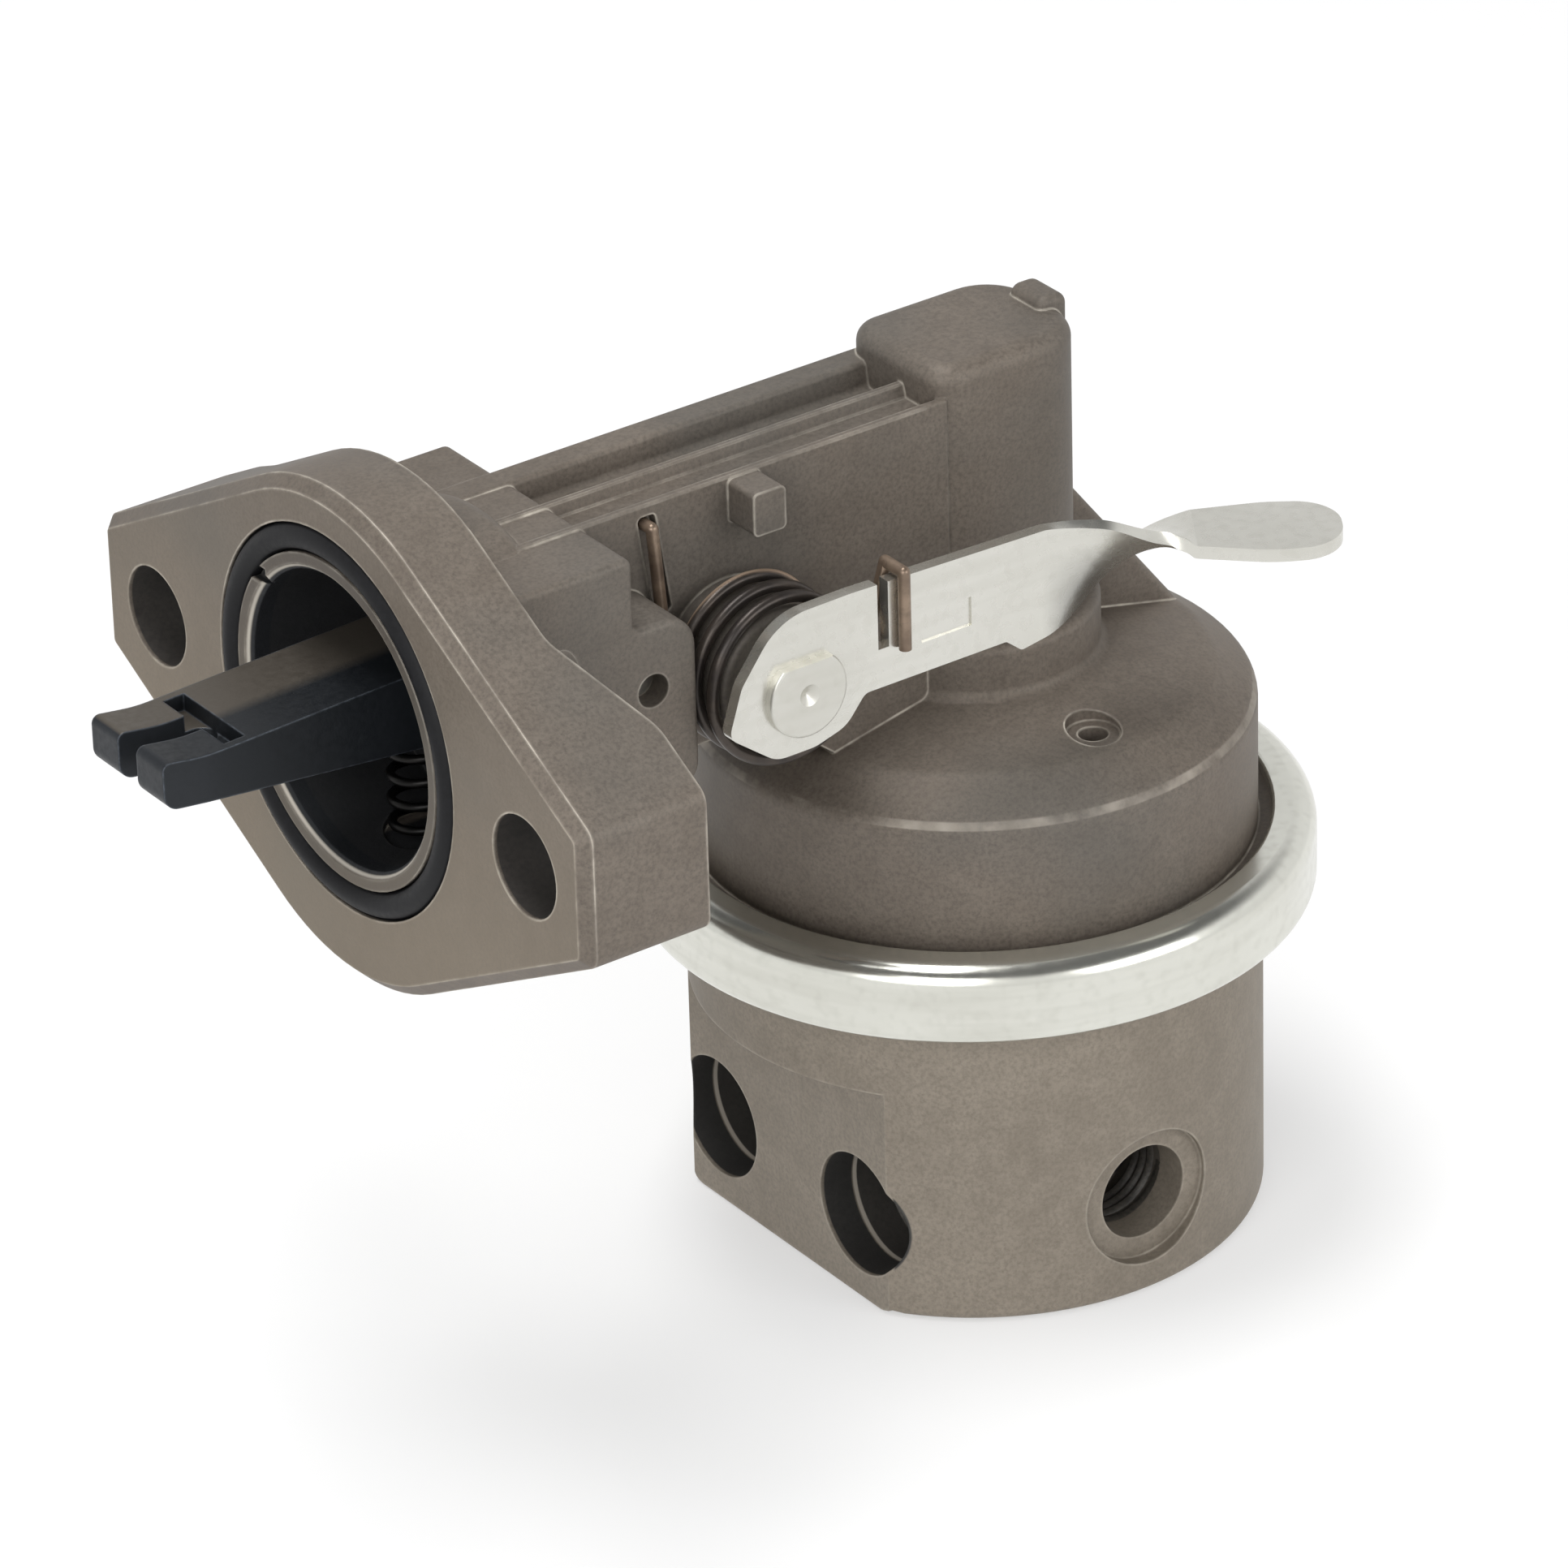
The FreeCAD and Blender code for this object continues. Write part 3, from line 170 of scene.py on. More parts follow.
# Dome's edge between shoulder and wall, where a highlight is painted, and the upright seam where the arm
# meets the tower
DOME_X = 64.8 * MM
DOME_EDGE_Z = -18.5 * MM
DOME_EDGE_HALF_WIDTH = 0.4 * MM
DOME_EDGE_RADIUS = 26.0 * MM
TOWER_SEAM = (57.1 * MM, -6.75 * MM, 0)
TOWER_SEAM_RADIUS = 1.2 * MM
TOWER_SEAM_TOP = 15.0 * MM

# Ports of the valve body: two in the milled flat, one at the side, each with a thread behind a smooth mouth
FLAT_X = 44.15 * MM
PORT_Y = 10.5 * MM
PORT_Z = -58.9 * MM
PORT_RADIUS = 5.7 * MM
# Along each port in the flat: painted shade from the mouth, a painted highlight ring, then painted shade down
# the wall
PORT_SHADE_START = FLAT_X + 0.3 * MM
PORT_RING_START = FLAT_X + 3.4 * MM
PORT_RING_END = PORT_RING_START + 0.55 * MM
PORT_WALL_START = PORT_RING_START + 0.4 * MM
PORT_WALL_END = 76.0 * MM
PORT_THREAD_START = FLAT_X + 6.4 * MM
PORT_THREAD_DEPTH = 5.6 * MM
PORT_THREAD_PITCH = 1.27 * MM
PORT_THREAD_HEIGHT = 0.55 * MM
SIDE_PORT_PLACE = Vector((DOME_X, -24.0 * MM, -57.9 * MM))
SIDE_PORT_RADIUS = 4.4 * MM
SIDE_SHADE_START = SIDE_PORT_PLACE.y + 3.2 * MM
SIDE_THREAD_START = SIDE_PORT_PLACE + Vector((0, 3.6 * MM, 0))
SIDE_THREAD_DEPTH = 4.0 * MM
SIDE_THREAD_PITCH = 1.0 * MM
SIDE_THREAD_HEIGHT = 0.40 * MM

# Thread ridges: half widths of foot and crest as shares of the pitch, the foot's depth in the wall, steps
THREAD_FOOT_HALF = 0.44
THREAD_CREST_HALF = 0.08
THREAD_FOOT = 0.02 * MM
THREAD_STEPS_A_TURN = 40
THREAD_FADE_STEPS = 20

# Painted shade and dark reflection beside the priming lever's twist: they come in and go out along X, and
# towards the lower edge
TWIST_X = 60.0 * MM
TWIST_SHADE_IN = (TWIST_X - 0.5 * MM, TWIST_X + 5.0 * MM)
TWIST_SHADE_OUT = (TWIST_X + 12.0 * MM, TWIST_X + 6.0 * MM)
TWIST_SHADE_DOWN = (3.5 * MM, -1.5 * MM)

# Priming lever's coil, from its hook in front to its leg in the casting: shade is painted on its front turns
# and a highlight on its last turn
COIL_PLACE = (34.9 * MM, 0, -1.4 * MM)
COIL_RADIUS = 8.2 * MM
COIL_FRONT_Y = -16.6 * MM
COIL_LAST_TURN_Y = -9.4 * MM
COIL_BACK_Y = -6.0 * MM

# How the springs' meshes are closed and shaded
WELD_DISTANCE = 0.001 * MM
SHARP_ANGLE = 0.8


class Graph:
    """A material's node tree, with short calls to add and link its nodes."""

    def __init__(self, name):
        self.material = bpy.data.materials.new(name)
        self.material.use_nodes = True
        self.tree = self.material.node_tree
        self.tree.nodes.clear()
        self.output = self.node("ShaderNodeOutputMaterial")
        self.shader = self.node("ShaderNodeBsdfPrincipled")
        self.link(self.shader.outputs["BSDF"], self.output.inputs["Surface"])
        self.place = self.node("ShaderNodeTexCoord").outputs["Object"]

    def node(self, kind, **values):
        made = self.tree.nodes.new(kind)
        for key, value in values.items():
            setattr(made, key, value)
        return made

    def link(self, source, target):
        self.tree.links.new(source, target)

    def plug(self, value, socket):
        """Sets a socket to a colour or number, or links an output to it."""
        if isinstance(value, tuple):
            socket.default_value = (*value, 1.0)
        elif isinstance(value, (int, float)):
            socket.default_value = value
        else:
            self.link(value, socket)

    def noise(self, scale, detail, roughness, stretch=None):
        made = self.node("ShaderNodeTexNoise")
        made.inputs["Scale"].default_value = scale
        made.inputs["Detail"].default_value = detail
        made.inputs["Roughness"].default_value = roughness
        place = self.place
        if stretch:
            mapping = self.node("ShaderNodeMapping")
            mapping.inputs["Scale"].default_value = stretch
            self.link(place, mapping.inputs["Vector"])
            place = mapping.outputs["Vector"]
        self.link(place, made.inputs["Vector"])
        return made.outputs["Fac"]

    def speckle(self, scale):
        made = self.node("ShaderNodeTexVoronoi")
        made.inputs["Scale"].default_value = scale
        self.link(self.place, made.inputs["Vector"])
        return made.outputs["Distance"]

    def bands(self, axis, scale):
        made = self.node("ShaderNodeTexWave", wave_type="BANDS", bands_direction=axis)
        made.inputs["Scale"].default_value = scale
        self.link(self.place, made.inputs["Vector"])
        return made.outputs["Fac"]

    def mask(self, source, low, high, start=0.0, end=1.0):
        """A value that goes from start to end while source goes from low to high."""
        made = self.node("ShaderNodeMapRange")
        made.inputs["From Min"].default_value = low
        made.inputs["From Max"].default_value = high
        made.inputs["To Min"].default_value = start
        made.inputs["To Max"].default_value = end
        self.link(source, made.inputs["Value"])
        return made.outputs["Result"]

    def mix(self, factor, a, b):
        """Colour a where factor is 0, b where it is 1."""
        made = self.node("ShaderNodeMix", data_type="RGBA", blend_type="MIX")
        self.link(factor, made.inputs["Factor"])
        self.plug(a, made.inputs["A"])
        self.plug(b, made.inputs["B"])
        return made.outputs["Result"]

    def maths(self, operation, a, b):
        made = self.node("ShaderNodeMath", operation=operation)
        self.plug(a, made.inputs[0])
        self.plug(b, made.inputs[1])
        return made.outputs["Value"]

    def times(self, a, b):
        return self.maths("MULTIPLY", a, b)

    def vector_maths(self, operation, *values):
        """The outputs of a vector operation on outputs and constant vectors."""
        made = self.node("ShaderNodeVectorMath", operation=operation)
        for value, socket in zip(values, made.inputs):
            if isinstance(value, tuple):
                socket.default_value = value
            else:
                self.link(value, socket)
        return made.outputs

    def component(self, source, axis):
        made = self.node("ShaderNodeSeparateXYZ")
        self.link(source, made.inputs["Vector"])
        return made.outputs[axis]

    def along(self, axis):
        return self.component(self.place, axis)

    def bevelled(self, radius, samples):
        """The surface's normal, rounded over edges."""
        made = self.node("ShaderNodeBevel", samples=samples)
        made.inputs["Radius"].default_value = radius
        return made.outputs["Normal"]

    def edge(self, radius, low, high):
        """1 on edges where the surface turns within radius, 0 on open faces."""
        normal = self.node("ShaderNodeNewGeometry").outputs["Normal"]
        alike = self.vector_maths("DOT_PRODUCT", self.bevelled(radius, samples=8), normal)["Value"]
        return self.mask(self.maths("SUBTRACT", 1.0, alike), low, high)

    def between(self, source, low, high):
        """1 where a length lies between two values."""
        return self.times(self.mask(source, low, low + BLUR), self.mask(source, high, high - BLUR))

    def within(self, axis, centre, radius, low, high):
        """1 inside a cylinder that runs along an axis through centre, between two places on that axis."""
        across = tuple(0.0 if name == axis else 1.0 for name in "XYZ")
        offset = self.vector_maths("SUBTRACT", self.place, centre)["Vector"]
        flat = self.vector_maths("MULTIPLY", offset, across)["Vector"]
        away = self.vector_maths("LENGTH", flat)["Value"]
        inside = self.mask(away, radius, radius - BLUR)
        return self.times(inside, self.between(self.along(axis), low, high))

    def shaded(self, tone, area, strength, colour=PAINTED_SHADE):
        """The tone, changed towards a colour where area is 1: painted shade unless a colour is given."""
        return self.mix(self.times(area, strength), tone, colour)

    def surface(self, colour, roughness, metallic):
        self.plug(colour, self.shader.inputs["Base Color"])
        self.plug(roughness, self.shader.inputs["Roughness"])
        self.plug(metallic, self.shader.inputs["Metallic"])

    def specular(self, level):
        self.plug(level, self.shader.inputs["Specular IOR Level"])

    def relief(self, layers, soften=None):
        """Bump from (height, strength, distance) layers, over edges softened by a radius."""
        normal = self.bevelled(soften, samples=6) if soften else None
        for height, strength, distance in layers:
            bump = self.node("ShaderNodeBump")
            bump.inputs["Strength"].default_value = strength
            bump.inputs["Distance"].default_value = distance
            self.link(height, bump.inputs["Height"])
            if normal:
                self.link(normal, bump.inputs["Normal"])
            normal = bump.outputs["Normal"]
        self.link(normal, self.shader.inputs["Normal"])


def casting(g, base, dark, light, wear_and_highlight_strength, calm=None):
    """Grey-brown as-cast aluminium: finely grained, faintly mottled, paler along edges from wear and a
    painted edge highlight.

    The strength of edge wear and painted highlight comes after the colours. Where calm is 1, they hardly
    show.
    """
    broad = g.noise(scale=55.0, detail=2.0, roughness=0.5)
    blotch = g.noise(scale=420.0, detail=5.0, roughness=0.62)
    grain = g.noise(scale=2600.0, detail=4.0, roughness=0.65)
    edge_breakup = g.noise(scale=180.0, detail=3.0, roughness=0.6)
    pits = g.speckle(scale=2100.0)
    tone = g.mix(g.mask(broad, low=0.38, high=0.64, end=0.40), base, light)
    tone = g.mix(g.mask(blotch, low=0.40, high=0.70, end=0.45), tone, light)
    tone = g.mix(g.mask(grain, low=0.34, high=0.60, start=0.55, end=0.0), tone, dark)
    tone = g.mix(g.mask(pits, low=0.0, high=0.25, start=0.40, end=0.0), tone, dark)
    # Paler edges, partly from wear and partly a painted highlight where edges catch the light
    edge = g.edge(radius=0.42 * MM, low=0.006, high=0.055)
    edge = g.times(edge, g.mask(edge_breakup, low=0.36, high=0.58, start=0.25 * wear_and_highlight_strength, end=wear_and_highlight_strength))
    if calm:
        edge = g.times(edge, g.mask(calm, low=0.0, high=1.0, start=1.0, end=0.1))
    edge = g.times(edge, g.mask(blotch, low=0.34, high=0.60, start=0.45))
    tone = g.mix(edge, tone, CASTING_WEAR_AND_HIGHLIGHT)
    g.relief([(blotch, 0.22, 0.10 * MM), (grain, 0.40, 0.05 * MM), (pits, 0.25, 0.03 * MM)], soften=0.2 * MM)
    g.specular(0.42)
    return tone, g.mask(grain, low=0.3, high=0.7, start=0.50, end=0.66), edge_breakup


def upper_casting():
    """Casting with painted shade in the bore, bolt holes, seal groove and the land inside it, a bright
    machined rim, a painted highlight along the dome's edge, and a thin oil film.
    """
    g = Graph("cast_upper")
    seam = g.within("Z", TOWER_SEAM, TOWER_SEAM_RADIUS, -DEEP, TOWER_SEAM_TOP)
    tone, roughness, edge_breakup = casting(g, CASTING, CASTING_DARK, CASTING_LIGHT, wear_and_highlight_strength=0.95, calm=seam)

    film = g.noise(scale=42.0, detail=2.0, roughness=0.5)
    tone = g.mix(g.mask(film, low=0.50, high=0.68, end=0.32), tone, OIL_FILM)

    face = g.within("X", BORE_AXIS, DEEP, FACE_START, FACE_END)
    lower_half = g.mask(g.along("Z"), low=FACE_SHADE_Z, high=-FACE_SHADE_Z, start=0.15, end=0.52)
    tone = g.shaded(tone, g.times(face, lower_half), strength=1.0, colour=CASTING_FACE)

    # Painted highlight along the dome's edge, broken up by noise
    dome_edge = g.within("Z", (DOME_X, 0, 0), DOME_EDGE_RADIUS, DOME_EDGE_Z - DOME_EDGE_HALF_WIDTH,
                         DOME_EDGE_Z + DOME_EDGE_HALF_WIDTH)
    dome_edge_highlight = g.times(dome_edge, g.mask(edge_breakup, low=0.38, high=0.66))
    tone = g.shaded(tone, dome_edge_highlight, strength=0.42, colour=CASTING_WEAR_AND_HIGHLIGHT)

    # Painted shade on the land inside the seal groove, and in the groove
    land = g.within("X", BORE_AXIS, GROOVE_RADIUS + BLUR, FACE_START, FACE_END)
    tone = g.shaded(tone, land, strength=0.50)
    groove = g.within("X", BORE_AXIS, GROOVE_RADIUS + GROOVE_WIDTH, GROOVE_START, GROOVE_END)
    tone = g.shaded(tone, groove, strength=0.9)
    rim = g.within("X", BORE_AXIS, RIM_RADIUS + BLUR, RIM_START, RIM_END)
    tone = g.shaded(tone, rim, strength=0.9, colour=MACHINED)
    # Painted shade down the bore
    bore = g.within("X", BORE_AXIS, RIM_RADIUS, RIM_END, BORE_SHADE_END)
    tone = g.shaded(tone, bore, strength=0.94)
    # Painted shade in the bolt holes
    for y in (-BOLT_Y, BOLT_Y):
        hole = g.within("X", (0, y, BOLT_Z), BOLT_RADIUS + BLUR, BOLT_SHADE_START, BORE_DEPTH)
        tone = g.shaded(tone, hole, strength=0.72)
    g.surface(tone, roughness, metallic=0.3)
    return g.material


def lower_casting():
    """Casting with painted shade in its ports, and a painted highlight ring round the wall of each port in
    the flat.
    """
    g = Graph("cast_lower")
    tone, roughness, _ = casting(g, BODY, BODY_DARK, BODY_LIGHT, wear_and_highlight_strength=0.35)
    radius = PORT_RADIUS + 2 * BLUR
    for y in (-PORT_Y, PORT_Y):
        port = (0, y, PORT_Z)
        # Painted shade and a painted highlight ring in this port
        mouth = g.within("X", port, radius, PORT_SHADE_START, PORT_RING_START)
        tone = g.shaded(tone, mouth, strength=0.88)
        ring = g.within("X", port, radius, PORT_RING_START, PORT_RING_END)
        tone = g.shaded(tone, ring, strength=0.85, colour=CASTING_WEAR_AND_HIGHLIGHT)
        wall = g.within("X", port, radius, PORT_WALL_START, PORT_WALL_END)
        tone = g.shaded(tone, wall, strength=0.80)
    # Painted shade in the side port
    side = g.within("Y", tuple(SIDE_PORT_PLACE), SIDE_PORT_RADIUS + 2 * BLUR, SIDE_SHADE_START, 0.0)
    tone = g.shaded(tone, side, strength=0.60)
    g.surface(tone, roughness, metallic=0.3)
    return g.material


def shade_darkened_thread():
    """Thread down in a port: as cast, darkened by painted shade."""
    g = Graph("shade_darkened_thread")
    fine = g.noise(scale=2600.0, detail=4.0, roughness=0.65)
    tone = g.mix(g.mask(fine, low=0.35, high=0.65), THREAD_DARK, THREAD_LIGHT)
    g.surface(tone, roughness=0.45, metallic=0.3)
    g.relief([(fine, 0.3, 0.03 * MM)])
    return g.material


def zinc_plating(name, base, roughness, twisted=False):
    """Zinc plating: satin, slightly clouded, with faint rolling marks. If twisted, painted shade and dark
    reflection beside the twist.
    """
    g = Graph(name)
    broad = g.noise(scale=70.0, detail=3.0, roughness=0.5)
    fine = g.noise(scale=900.0, detail=1.0, roughness=0.5)
    drawn = g.noise(scale=260.0, detail=2.0, roughness=0.5, stretch=(0.25, 0.25, 3.0))
    tone = g.mix(g.mask(broad, low=0.38, high=0.70, end=0.25), base, DULL_ZINC)
    tone = g.mix(g.mask(drawn, low=0.45, high=0.75, end=0.25), tone, DULL_ZINC)
    tone = g.mix(g.mask(fine, low=0.50, high=0.75, end=0.20), tone, DULL_ZINC)
    if twisted:
        # Painted shade and dark reflection beside the twist
        twist_shade = g.times(g.mask(g.along("X"), *TWIST_SHADE_IN), g.mask(g.along("X"), *TWIST_SHADE_OUT))
        twist_shade = g.times(twist_shade, g.mask(g.along("Z"), *TWIST_SHADE_DOWN))
        tone = g.shaded(tone, twist_shade, strength=0.62)
    uneven = g.mask(fine, low=0.3, high=0.7, start=roughness - 0.02, end=roughness + 0.03)
    g.surface(tone, uneven, metallic=0.92)
    g.relief([(drawn, 0.06, 0.03 * MM)])
    return g.material


def black_forging():
    """Blackened forging: bluish sides, a painted brown sheen on upper faces, a pale streak of wear and
    painted highlight along edges.
    """
    g = Graph("blackened_steel")
    broad = g.noise(scale=120.0, detail=4.0, roughness=0.6)
    fine = g.noise(scale=1500.0, detail=4.0, roughness=0.6)
    normal = g.node("ShaderNodeTexCoord").outputs["Normal"]
    upward = g.mask(g.component(normal, "Z"), low=0.75, high=0.95)
    far_side = g.mask(g.along("Y"), low=-1.2 * MM, high=0.2 * MM)
    tone = g.mix(g.mask(broad, low=0.45, high=0.70, end=0.30), BLACK_STEEL, BLACK_STEEL_LIGHT)
    # Painted sheen on the upward faces of the far side
    tone = g.shaded(tone, g.times(upward, far_side), strength=0.85, colour=BLACK_STEEL_TOP_SHEEN)
    # Pale edges, partly from wear and partly a painted highlight
    worn_and_highlighted_edge = g.edge(radius=0.30 * MM, low=0.02, high=0.18)
    worn_and_highlighted_edge = g.times(worn_and_highlighted_edge, g.mask(fine, low=0.38, high=0.6, start=0.25, end=0.75))
    tone = g.mix(worn_and_highlighted_edge, tone, BLACK_STEEL_WEAR_AND_HIGHLIGHT)
    g.surface(tone, g.mask(fine, low=0.3, high=0.7, start=0.36, end=0.52), metallic=0.5)
    g.relief([(fine, 0.25, 0.04 * MM), (broad, 0.2, 0.15 * MM)], soften=0.3 * MM)
    return g.material


def spring_wire(name, light, dark, metallic=0.85, lever_coil=False):
    """Tempered wire. On the lever's coil, shade is painted on the front turns and a highlight on the last
    turn beside the casting.
    """
    g = Graph(name)
    fine = g.noise(scale=1400.0, detail=3.0, roughness=0.6)
    broad = g.noise(scale=300.0, detail=2.0, roughness=0.5)
    tone = g.mix(g.mask(broad, low=0.35, high=0.65, end=0.7), light, dark)
    tone = g.mix(g.mask(fine, low=0.5, high=0.8, end=0.5), tone, dark)
    if lever_coil:
        # Painted shade on the coil's front turns, and a painted highlight on its last turn
        turns = g.within("Y", COIL_PLACE, COIL_RADIUS, COIL_FRONT_Y, COIL_LAST_TURN_Y)
        tone = g.shaded(tone, turns, strength=0.80)
        highlighted_last_turn = g.within("Y", COIL_PLACE, COIL_RADIUS, COIL_LAST_TURN_Y, COIL_BACK_Y)
        tone = g.shaded(tone, highlighted_last_turn, strength=0.80, colour=WIRE_PAINTED_HIGHLIGHT)
    g.surface(tone, roughness=0.36, metallic=metallic)
    g.relief([(fine, 0.15, 0.02 * MM)])
    return g.material


def turned_steel():
    """Turned steel with fine tool marks."""
    g = Graph("turned_steel")
    fine = g.noise(scale=1200.0, detail=4.0, roughness=0.6)
    tone = g.mix(g.mask(fine, low=0.4, high=0.7, end=0.5), STEEL, STEEL_DARK)
    g.surface(tone, g.mask(fine, low=0.3, high=0.7, start=0.28, end=0.42), metallic=0.9)
    g.relief([(fine, 0.15, 0.03 * MM)], soften=0.2 * MM)
    return g.material


def yellow_plating():
    """Pressed steel with a yellow-grey plating."""
    g = Graph("yellow_plated_steel")
    fine = g.noise(scale=700.0, detail=3.0, roughness=0.6)
    tone = g.mix(g.mask(fine, low=0.35, high=0.65), PLATING_YELLOW, PLATING_GREEN)
    g.surface(tone, roughness=0.35, metallic=0.85)
    g.relief([(fine, 0.1, 0.02 * MM)], soften=0.15 * MM)
    return g.material


def moulded_rubber(name, tone):
    """Matt black rubber with a fine bloom."""
    g = Graph(name)
    fine = g.noise(scale=1800.0, detail=4.0, roughness=0.6)
    bloom = tuple(2.2 * part for part in tone)
    colour = g.mix(g.mask(fine, low=0.4, high=0.7, end=0.6), tone, bloom)
    g.surface(colour, g.mask(fine, low=0.3, high=0.7, start=0.50, end=0.62), metallic=0.0)
    g.specular(0.22)
    g.relief([(fine, 0.2, 0.02 * MM)])
    return g.material


def fabric_rubber():
    """Diaphragm rubber with its woven fabric showing."""
    g = Graph("fabric_faced_rubber")
    cloth = g.times(g.bands("X", scale=350.0), g.bands("Y", scale=350.0))
    g.surface(g.mix(cloth, CLOTH_DARK, CLOTH_LIGHT), roughness=0.6, metallic=0.0)
    g.relief([(cloth, 0.4, 0.05 * MM)])
    return g.material


def turned_brass():
    """Turned brass, slightly tarnished."""
    g = Graph("turned_brass")
    fine = g.noise(scale=1100.0, detail=3.0, roughness=0.6)
    tone = g.mix(g.mask(fine, low=0.4, high=0.7), BRASS_LIGHT, BRASS_DARK)
    g.surface(tone, roughness=0.3, metallic=0.95)
    g.relief([(fine, 0.1, 0.02 * MM)], soften=0.15 * MM)
    return g.material


THREAD = shade_darkened_thread()
WIRE = spring_wire("tempered_spring_wire", WIRE_LIGHT, WIRE_DARK)
TURNED = turned_steel()
PLATED = yellow_plating()
SEAL = moulded_rubber("moulded_seal_rubber", SEAL_RUBBER)
DISC = moulded_rubber("moulded_disc_rubber", DISC_RUBBER)
BRASS = turned_brass()

LOOKS = {
    "upper_housing": upper_casting(),
    "lower_body": lower_casting(),
    "rocker_arm": black_forging(),
    "rocker_pin": TURNED,
    "pull_rod": TURNED,
    "crimp_ring": zinc_plating("zinc_plated_ring", RING_ZINC, roughness=0.20),
    "prime_lever": zinc_plating("zinc_plated_lever", LEVER_ZINC, roughness=0.26, twisted=True),
    "prime_shaft": zinc_plating("zinc_plated_shaft", SHAFT_ZINC, roughness=0.40),
    "prime_spring": spring_wire("tempered_coil_wire", WIRE_LIGHT, WIRE_DARK, metallic=0.65, lever_coil=True),
    # Return spring: wire painted near black for the shade in the bore
    "return_spring": spring_wire("shade_darkened_spring_wire", SHADE_DARKENED_WIRE_LIGHT, SHADE_DARKENED_WIRE_DARK),
    "diaphragm": fabric_rubber(),
    "flange_seal": SEAL,
    "rod_seal": SEAL,
    "shaft_seal": SEAL,
    "seal_retainer": PLATED,
    "upper_plate": PLATED,
    "lower_plate": PLATED,
    "rivet_washer": PLATED,
}


def look_of(node):
    """The material of a node. LOOKS leaves out three springs, the valve discs, and valve seats and stems."""
    if node in LOOKS:
        return LOOKS[node]
    if node.endswith("spring"):
        return WIRE
    if node.endswith("disc"):
        return DISC
    return BRASS


for node, obj in NODES.items():
    for material_slot in obj.material_slots:
        material_slot.material = look_of(node)


def smooth_piece(name, points, faces, material):
    """A smooth-shaded mesh in the part's own frame."""
    mesh = bpy.data.meshes.new(name)
    mesh.from_pydata([tuple(point) for point in points], [], faces)
    for polygon in mesh.polygons:
        polygon.use_smooth = True
    mesh.materials.append(material)
    piece = bpy.data.objects.new(name, mesh)
    bpy.context.scene.collection.objects.link(piece)
    return piece


def soft_spring(node):
    """The visible coil of a spring: a welded, smooth-shaded copy of its mesh, with the original hidden."""
    obj = NODES[node]
    points = [obj.matrix_world @ vertex.co for vertex in obj.data.vertices]
    faces = [tuple(polygon.vertices) for polygon in obj.data.polygons]
    coil = smooth_piece(node + "_coil", points, faces, look_of(node))
    shell = bmesh.new()
    shell.from_mesh(coil.data)
    bmesh.ops.remove_doubles(shell, verts=shell.verts, dist=WELD_DISTANCE)
    shell.to_mesh(coil.data)
    shell.free()
    coil.data.set_sharp_from_angle(angle=SHARP_ANGLE)
    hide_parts(node)
    return coil, points


def pressed_spring(node):
    """A compression spring's coil, attached to the housing with a mesh of its own."""
    coil, points = soft_spring(node)
    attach(coil, "housing")
    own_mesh(coil)


pressed_spring("diaphragm_spring")
pressed_spring("inlet_valve_spring")
pressed_spring("outlet_valve_spring")
pressed_spring("return_spring")

# The lever's coil, its leg in the casting and its hook on the lever, with its placement baked into its mesh
winding, _ = soft_spring("prime_spring")
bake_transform(winding)


def thread(name, start, axis, side, radius, depth, pitch, height):
    """Helical thread ridge on the wall of a port.

    It begins at start on the hole's centre line, and axis points inward from there.
    """
    up = axis.cross(side).normalized()
    turns = depth / pitch
    steps = int(turns * THREAD_STEPS_A_TURN)
    foot = THREAD_FOOT_HALF * pitch
    crest = THREAD_CREST_HALF * pitch
    profile = [(THREAD_FOOT, -foot), (-height, -crest), (-height, crest), (THREAD_FOOT, foot)]
    points = []
    for i in range(steps + 1):
        angle = 2 * math.pi * turns * i / steps
        along = depth * i / steps
        out = side * math.cos(angle) + up * math.sin(angle)
        fade = min(1.0, i / THREAD_FADE_STEPS, (steps - i) / THREAD_FADE_STEPS)
        for reach, shift in profile:
            rise = reach if reach > 0 else reach * fade
            points.append(start + out * (radius + rise) + axis * (along + shift))
    count = len(profile)
    corners = [i * count + j for i in range(steps) for j in range(count - 1)]
    faces = [(a, a + 1, a + count + 1, a + count) for a in corners]
    ridge = smooth_piece(name, points, faces, THREAD)
    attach(ridge, "housing")


# Threads of the three ports
for name, y in (("inlet_thread", PORT_Y), ("outlet_thread", -PORT_Y)):
    thread(name, Vector((PORT_THREAD_START, y, PORT_Z)), Vector((1, 0, 0)), Vector((0, 1, 0)),
           PORT_RADIUS, PORT_THREAD_DEPTH, PORT_THREAD_PITCH, PORT_THREAD_HEIGHT)
thread("side_thread", SIDE_THREAD_START, Vector((0, 1, 0)), Vector((1, 0, 0)),
       SIDE_PORT_RADIUS, SIDE_THREAD_DEPTH, SIDE_THREAD_PITCH, SIDE_THREAD_HEIGHT)


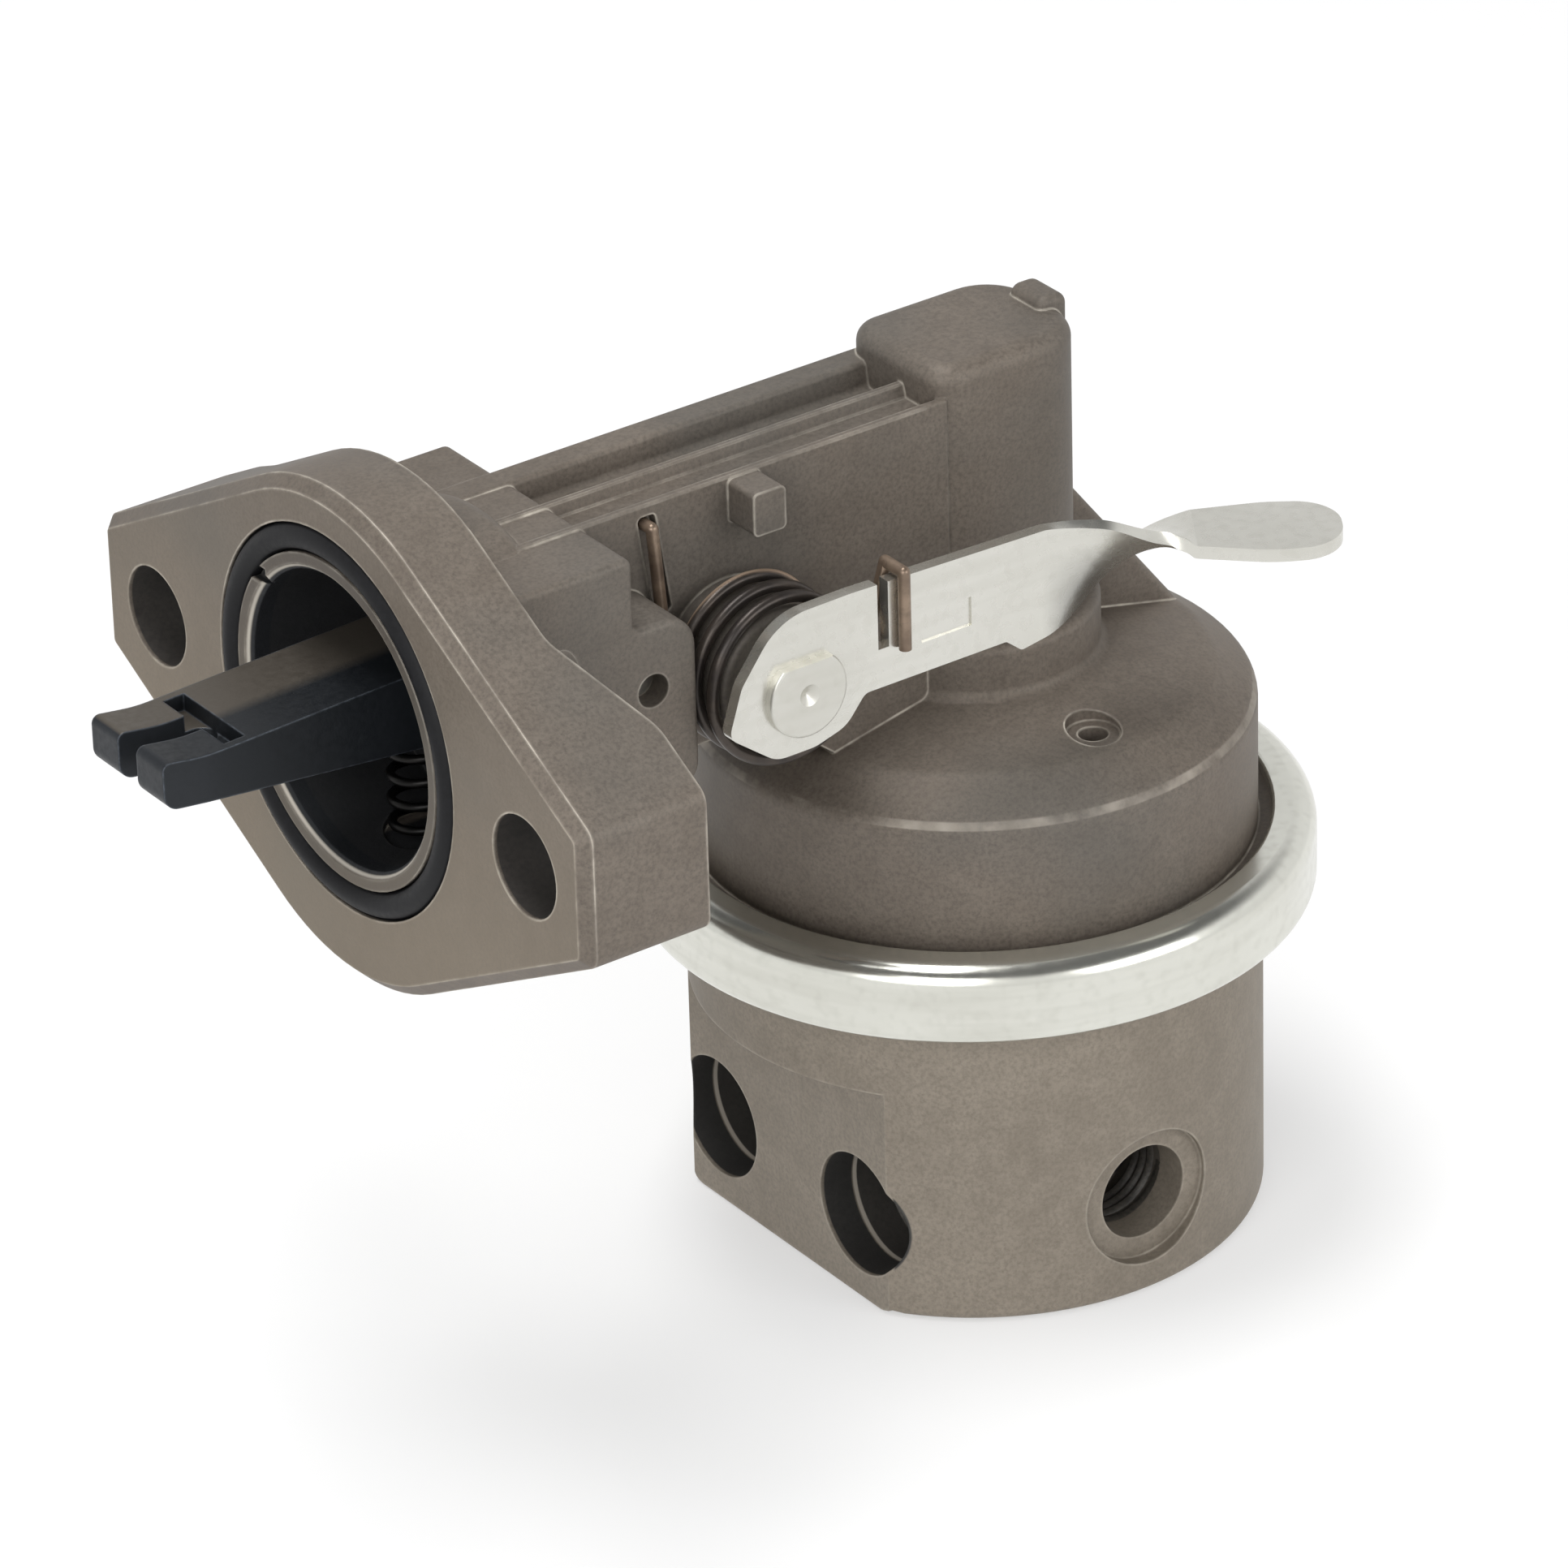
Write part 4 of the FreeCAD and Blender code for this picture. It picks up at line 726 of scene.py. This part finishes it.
def floor_white():
    """Matt white floor, plain white in gloss and glass, and partly so where the camera sees it."""
    g = Graph("floor_white")
    g.surface(FLOOR_WHITE, roughness=0.9, metallic=0.0)
    rays = g.node("ShaderNodeLightPath").outputs
    mirrored = g.maths("MAXIMUM", rays["Is Glossy Ray"], rays["Is Transmission Ray"])
    seen = g.maths("MAXIMUM", mirrored, g.times(rays["Is Camera Ray"], FLOOR_GLOW))
    glow = g.node("ShaderNodeEmission")
    g.plug(WHITE, glow.inputs["Color"])
    blend = g.node("ShaderNodeMixShader")
    g.link(seen, blend.inputs["Fac"])
    g.link(g.shader.outputs["BSDF"], blend.inputs[1])
    g.link(glow.outputs["Emission"], blend.inputs[2])
    g.link(blend.outputs["Shader"], g.output.inputs["Surface"])
    return g.material


bpy.ops.mesh.primitive_plane_add(size=FLOOR_SIZE, location=(*FLOOR_CENTRE, cad_low[2] - FLOOR_GAP))
floor = bpy.context.object
floor.name = "floor"
floor.data.materials.append(floor_white())

# World: even soft light, white where the camera looks past the floor. Gloss sees a room that is pale all
# round and darker overhead, so that rounded metal shows its form.
world = bpy.data.worlds.new("studio")
bpy.context.scene.world = world
world.use_nodes = True
tree = world.node_tree
tree.nodes.clear()
link = tree.links.new


def sky(strength):
    """White light of a strength that is a number or an output."""
    made = tree.nodes.new("ShaderNodeBackground")
    made.inputs["Color"].default_value = (*WHITE, 1.0)
    if isinstance(strength, float):
        made.inputs["Strength"].default_value = strength
    else:
        link(strength, made.inputs["Strength"])
    return made.outputs["Background"]


def switch(factor, a, b):
    """Shader a where factor is 0, b where it is 1."""
    made = tree.nodes.new("ShaderNodeMixShader")
    link(factor, made.inputs["Fac"])
    link(a, made.inputs[1])
    link(b, made.inputs[2])
    return made.outputs["Shader"]


direction = tree.nodes.new("ShaderNodeTexCoord").outputs["Generated"]
height = tree.nodes.new("ShaderNodeSeparateXYZ")
link(direction, height.inputs["Vector"])
room = tree.nodes.new("ShaderNodeMapRange")
room.inputs["From Min"].default_value = CEILING_START
room.inputs["From Max"].default_value = CEILING_END
room.inputs["To Min"].default_value = ROOM_LIGHT
room.inputs["To Max"].default_value = CEILING_LIGHT
link(height.outputs["Z"], room.inputs["Value"])
rays = tree.nodes.new("ShaderNodeLightPath").outputs
lit = switch(rays["Is Glossy Ray"], sky(SKY_LIGHT), sky(room.outputs["Result"]))
background = tree.nodes.new("ShaderNodeOutputWorld")
link(switch(rays["Is Camera Ray"], lit, sky(1.0)), background.inputs["Surface"])

for name, place, size, watts in LAMPS:
    lamp = bpy.data.lights.new(name, "AREA")
    lamp.shape = "RECTANGLE"
    lamp.size, lamp.size_y = size
    lamp.energy = watts
    obj = bpy.data.objects.new(name, lamp)
    bpy.context.scene.collection.objects.link(obj)
    obj.location = place
    obj.rotation_euler = (Vector(LAMP_TARGET) - Vector(place)).to_track_quat("-Z", "Y").to_euler()

camera_data = bpy.data.cameras.new("camera")
camera_data.sensor_width = SENSOR_WIDTH
camera_data.lens = SENSOR_WIDTH * FOCAL_PIXELS / FRAME_PIXELS
camera_data.clip_start = CLIP_START
camera_data.clip_end = CLIP_END
camera = bpy.data.objects.new("camera", camera_data)
bpy.context.scene.collection.objects.link(camera)
turned = Matrix((CAMERA_RIGHT, -CAMERA_DOWN, -CAMERA_FORWARD)).transposed()
camera.matrix_world = Matrix.Translation(CAMERA_POSITION) @ turned.to_4x4()
bpy.context.scene.camera = camera
bpy.context.scene.view_settings.view_transform = "Standard"
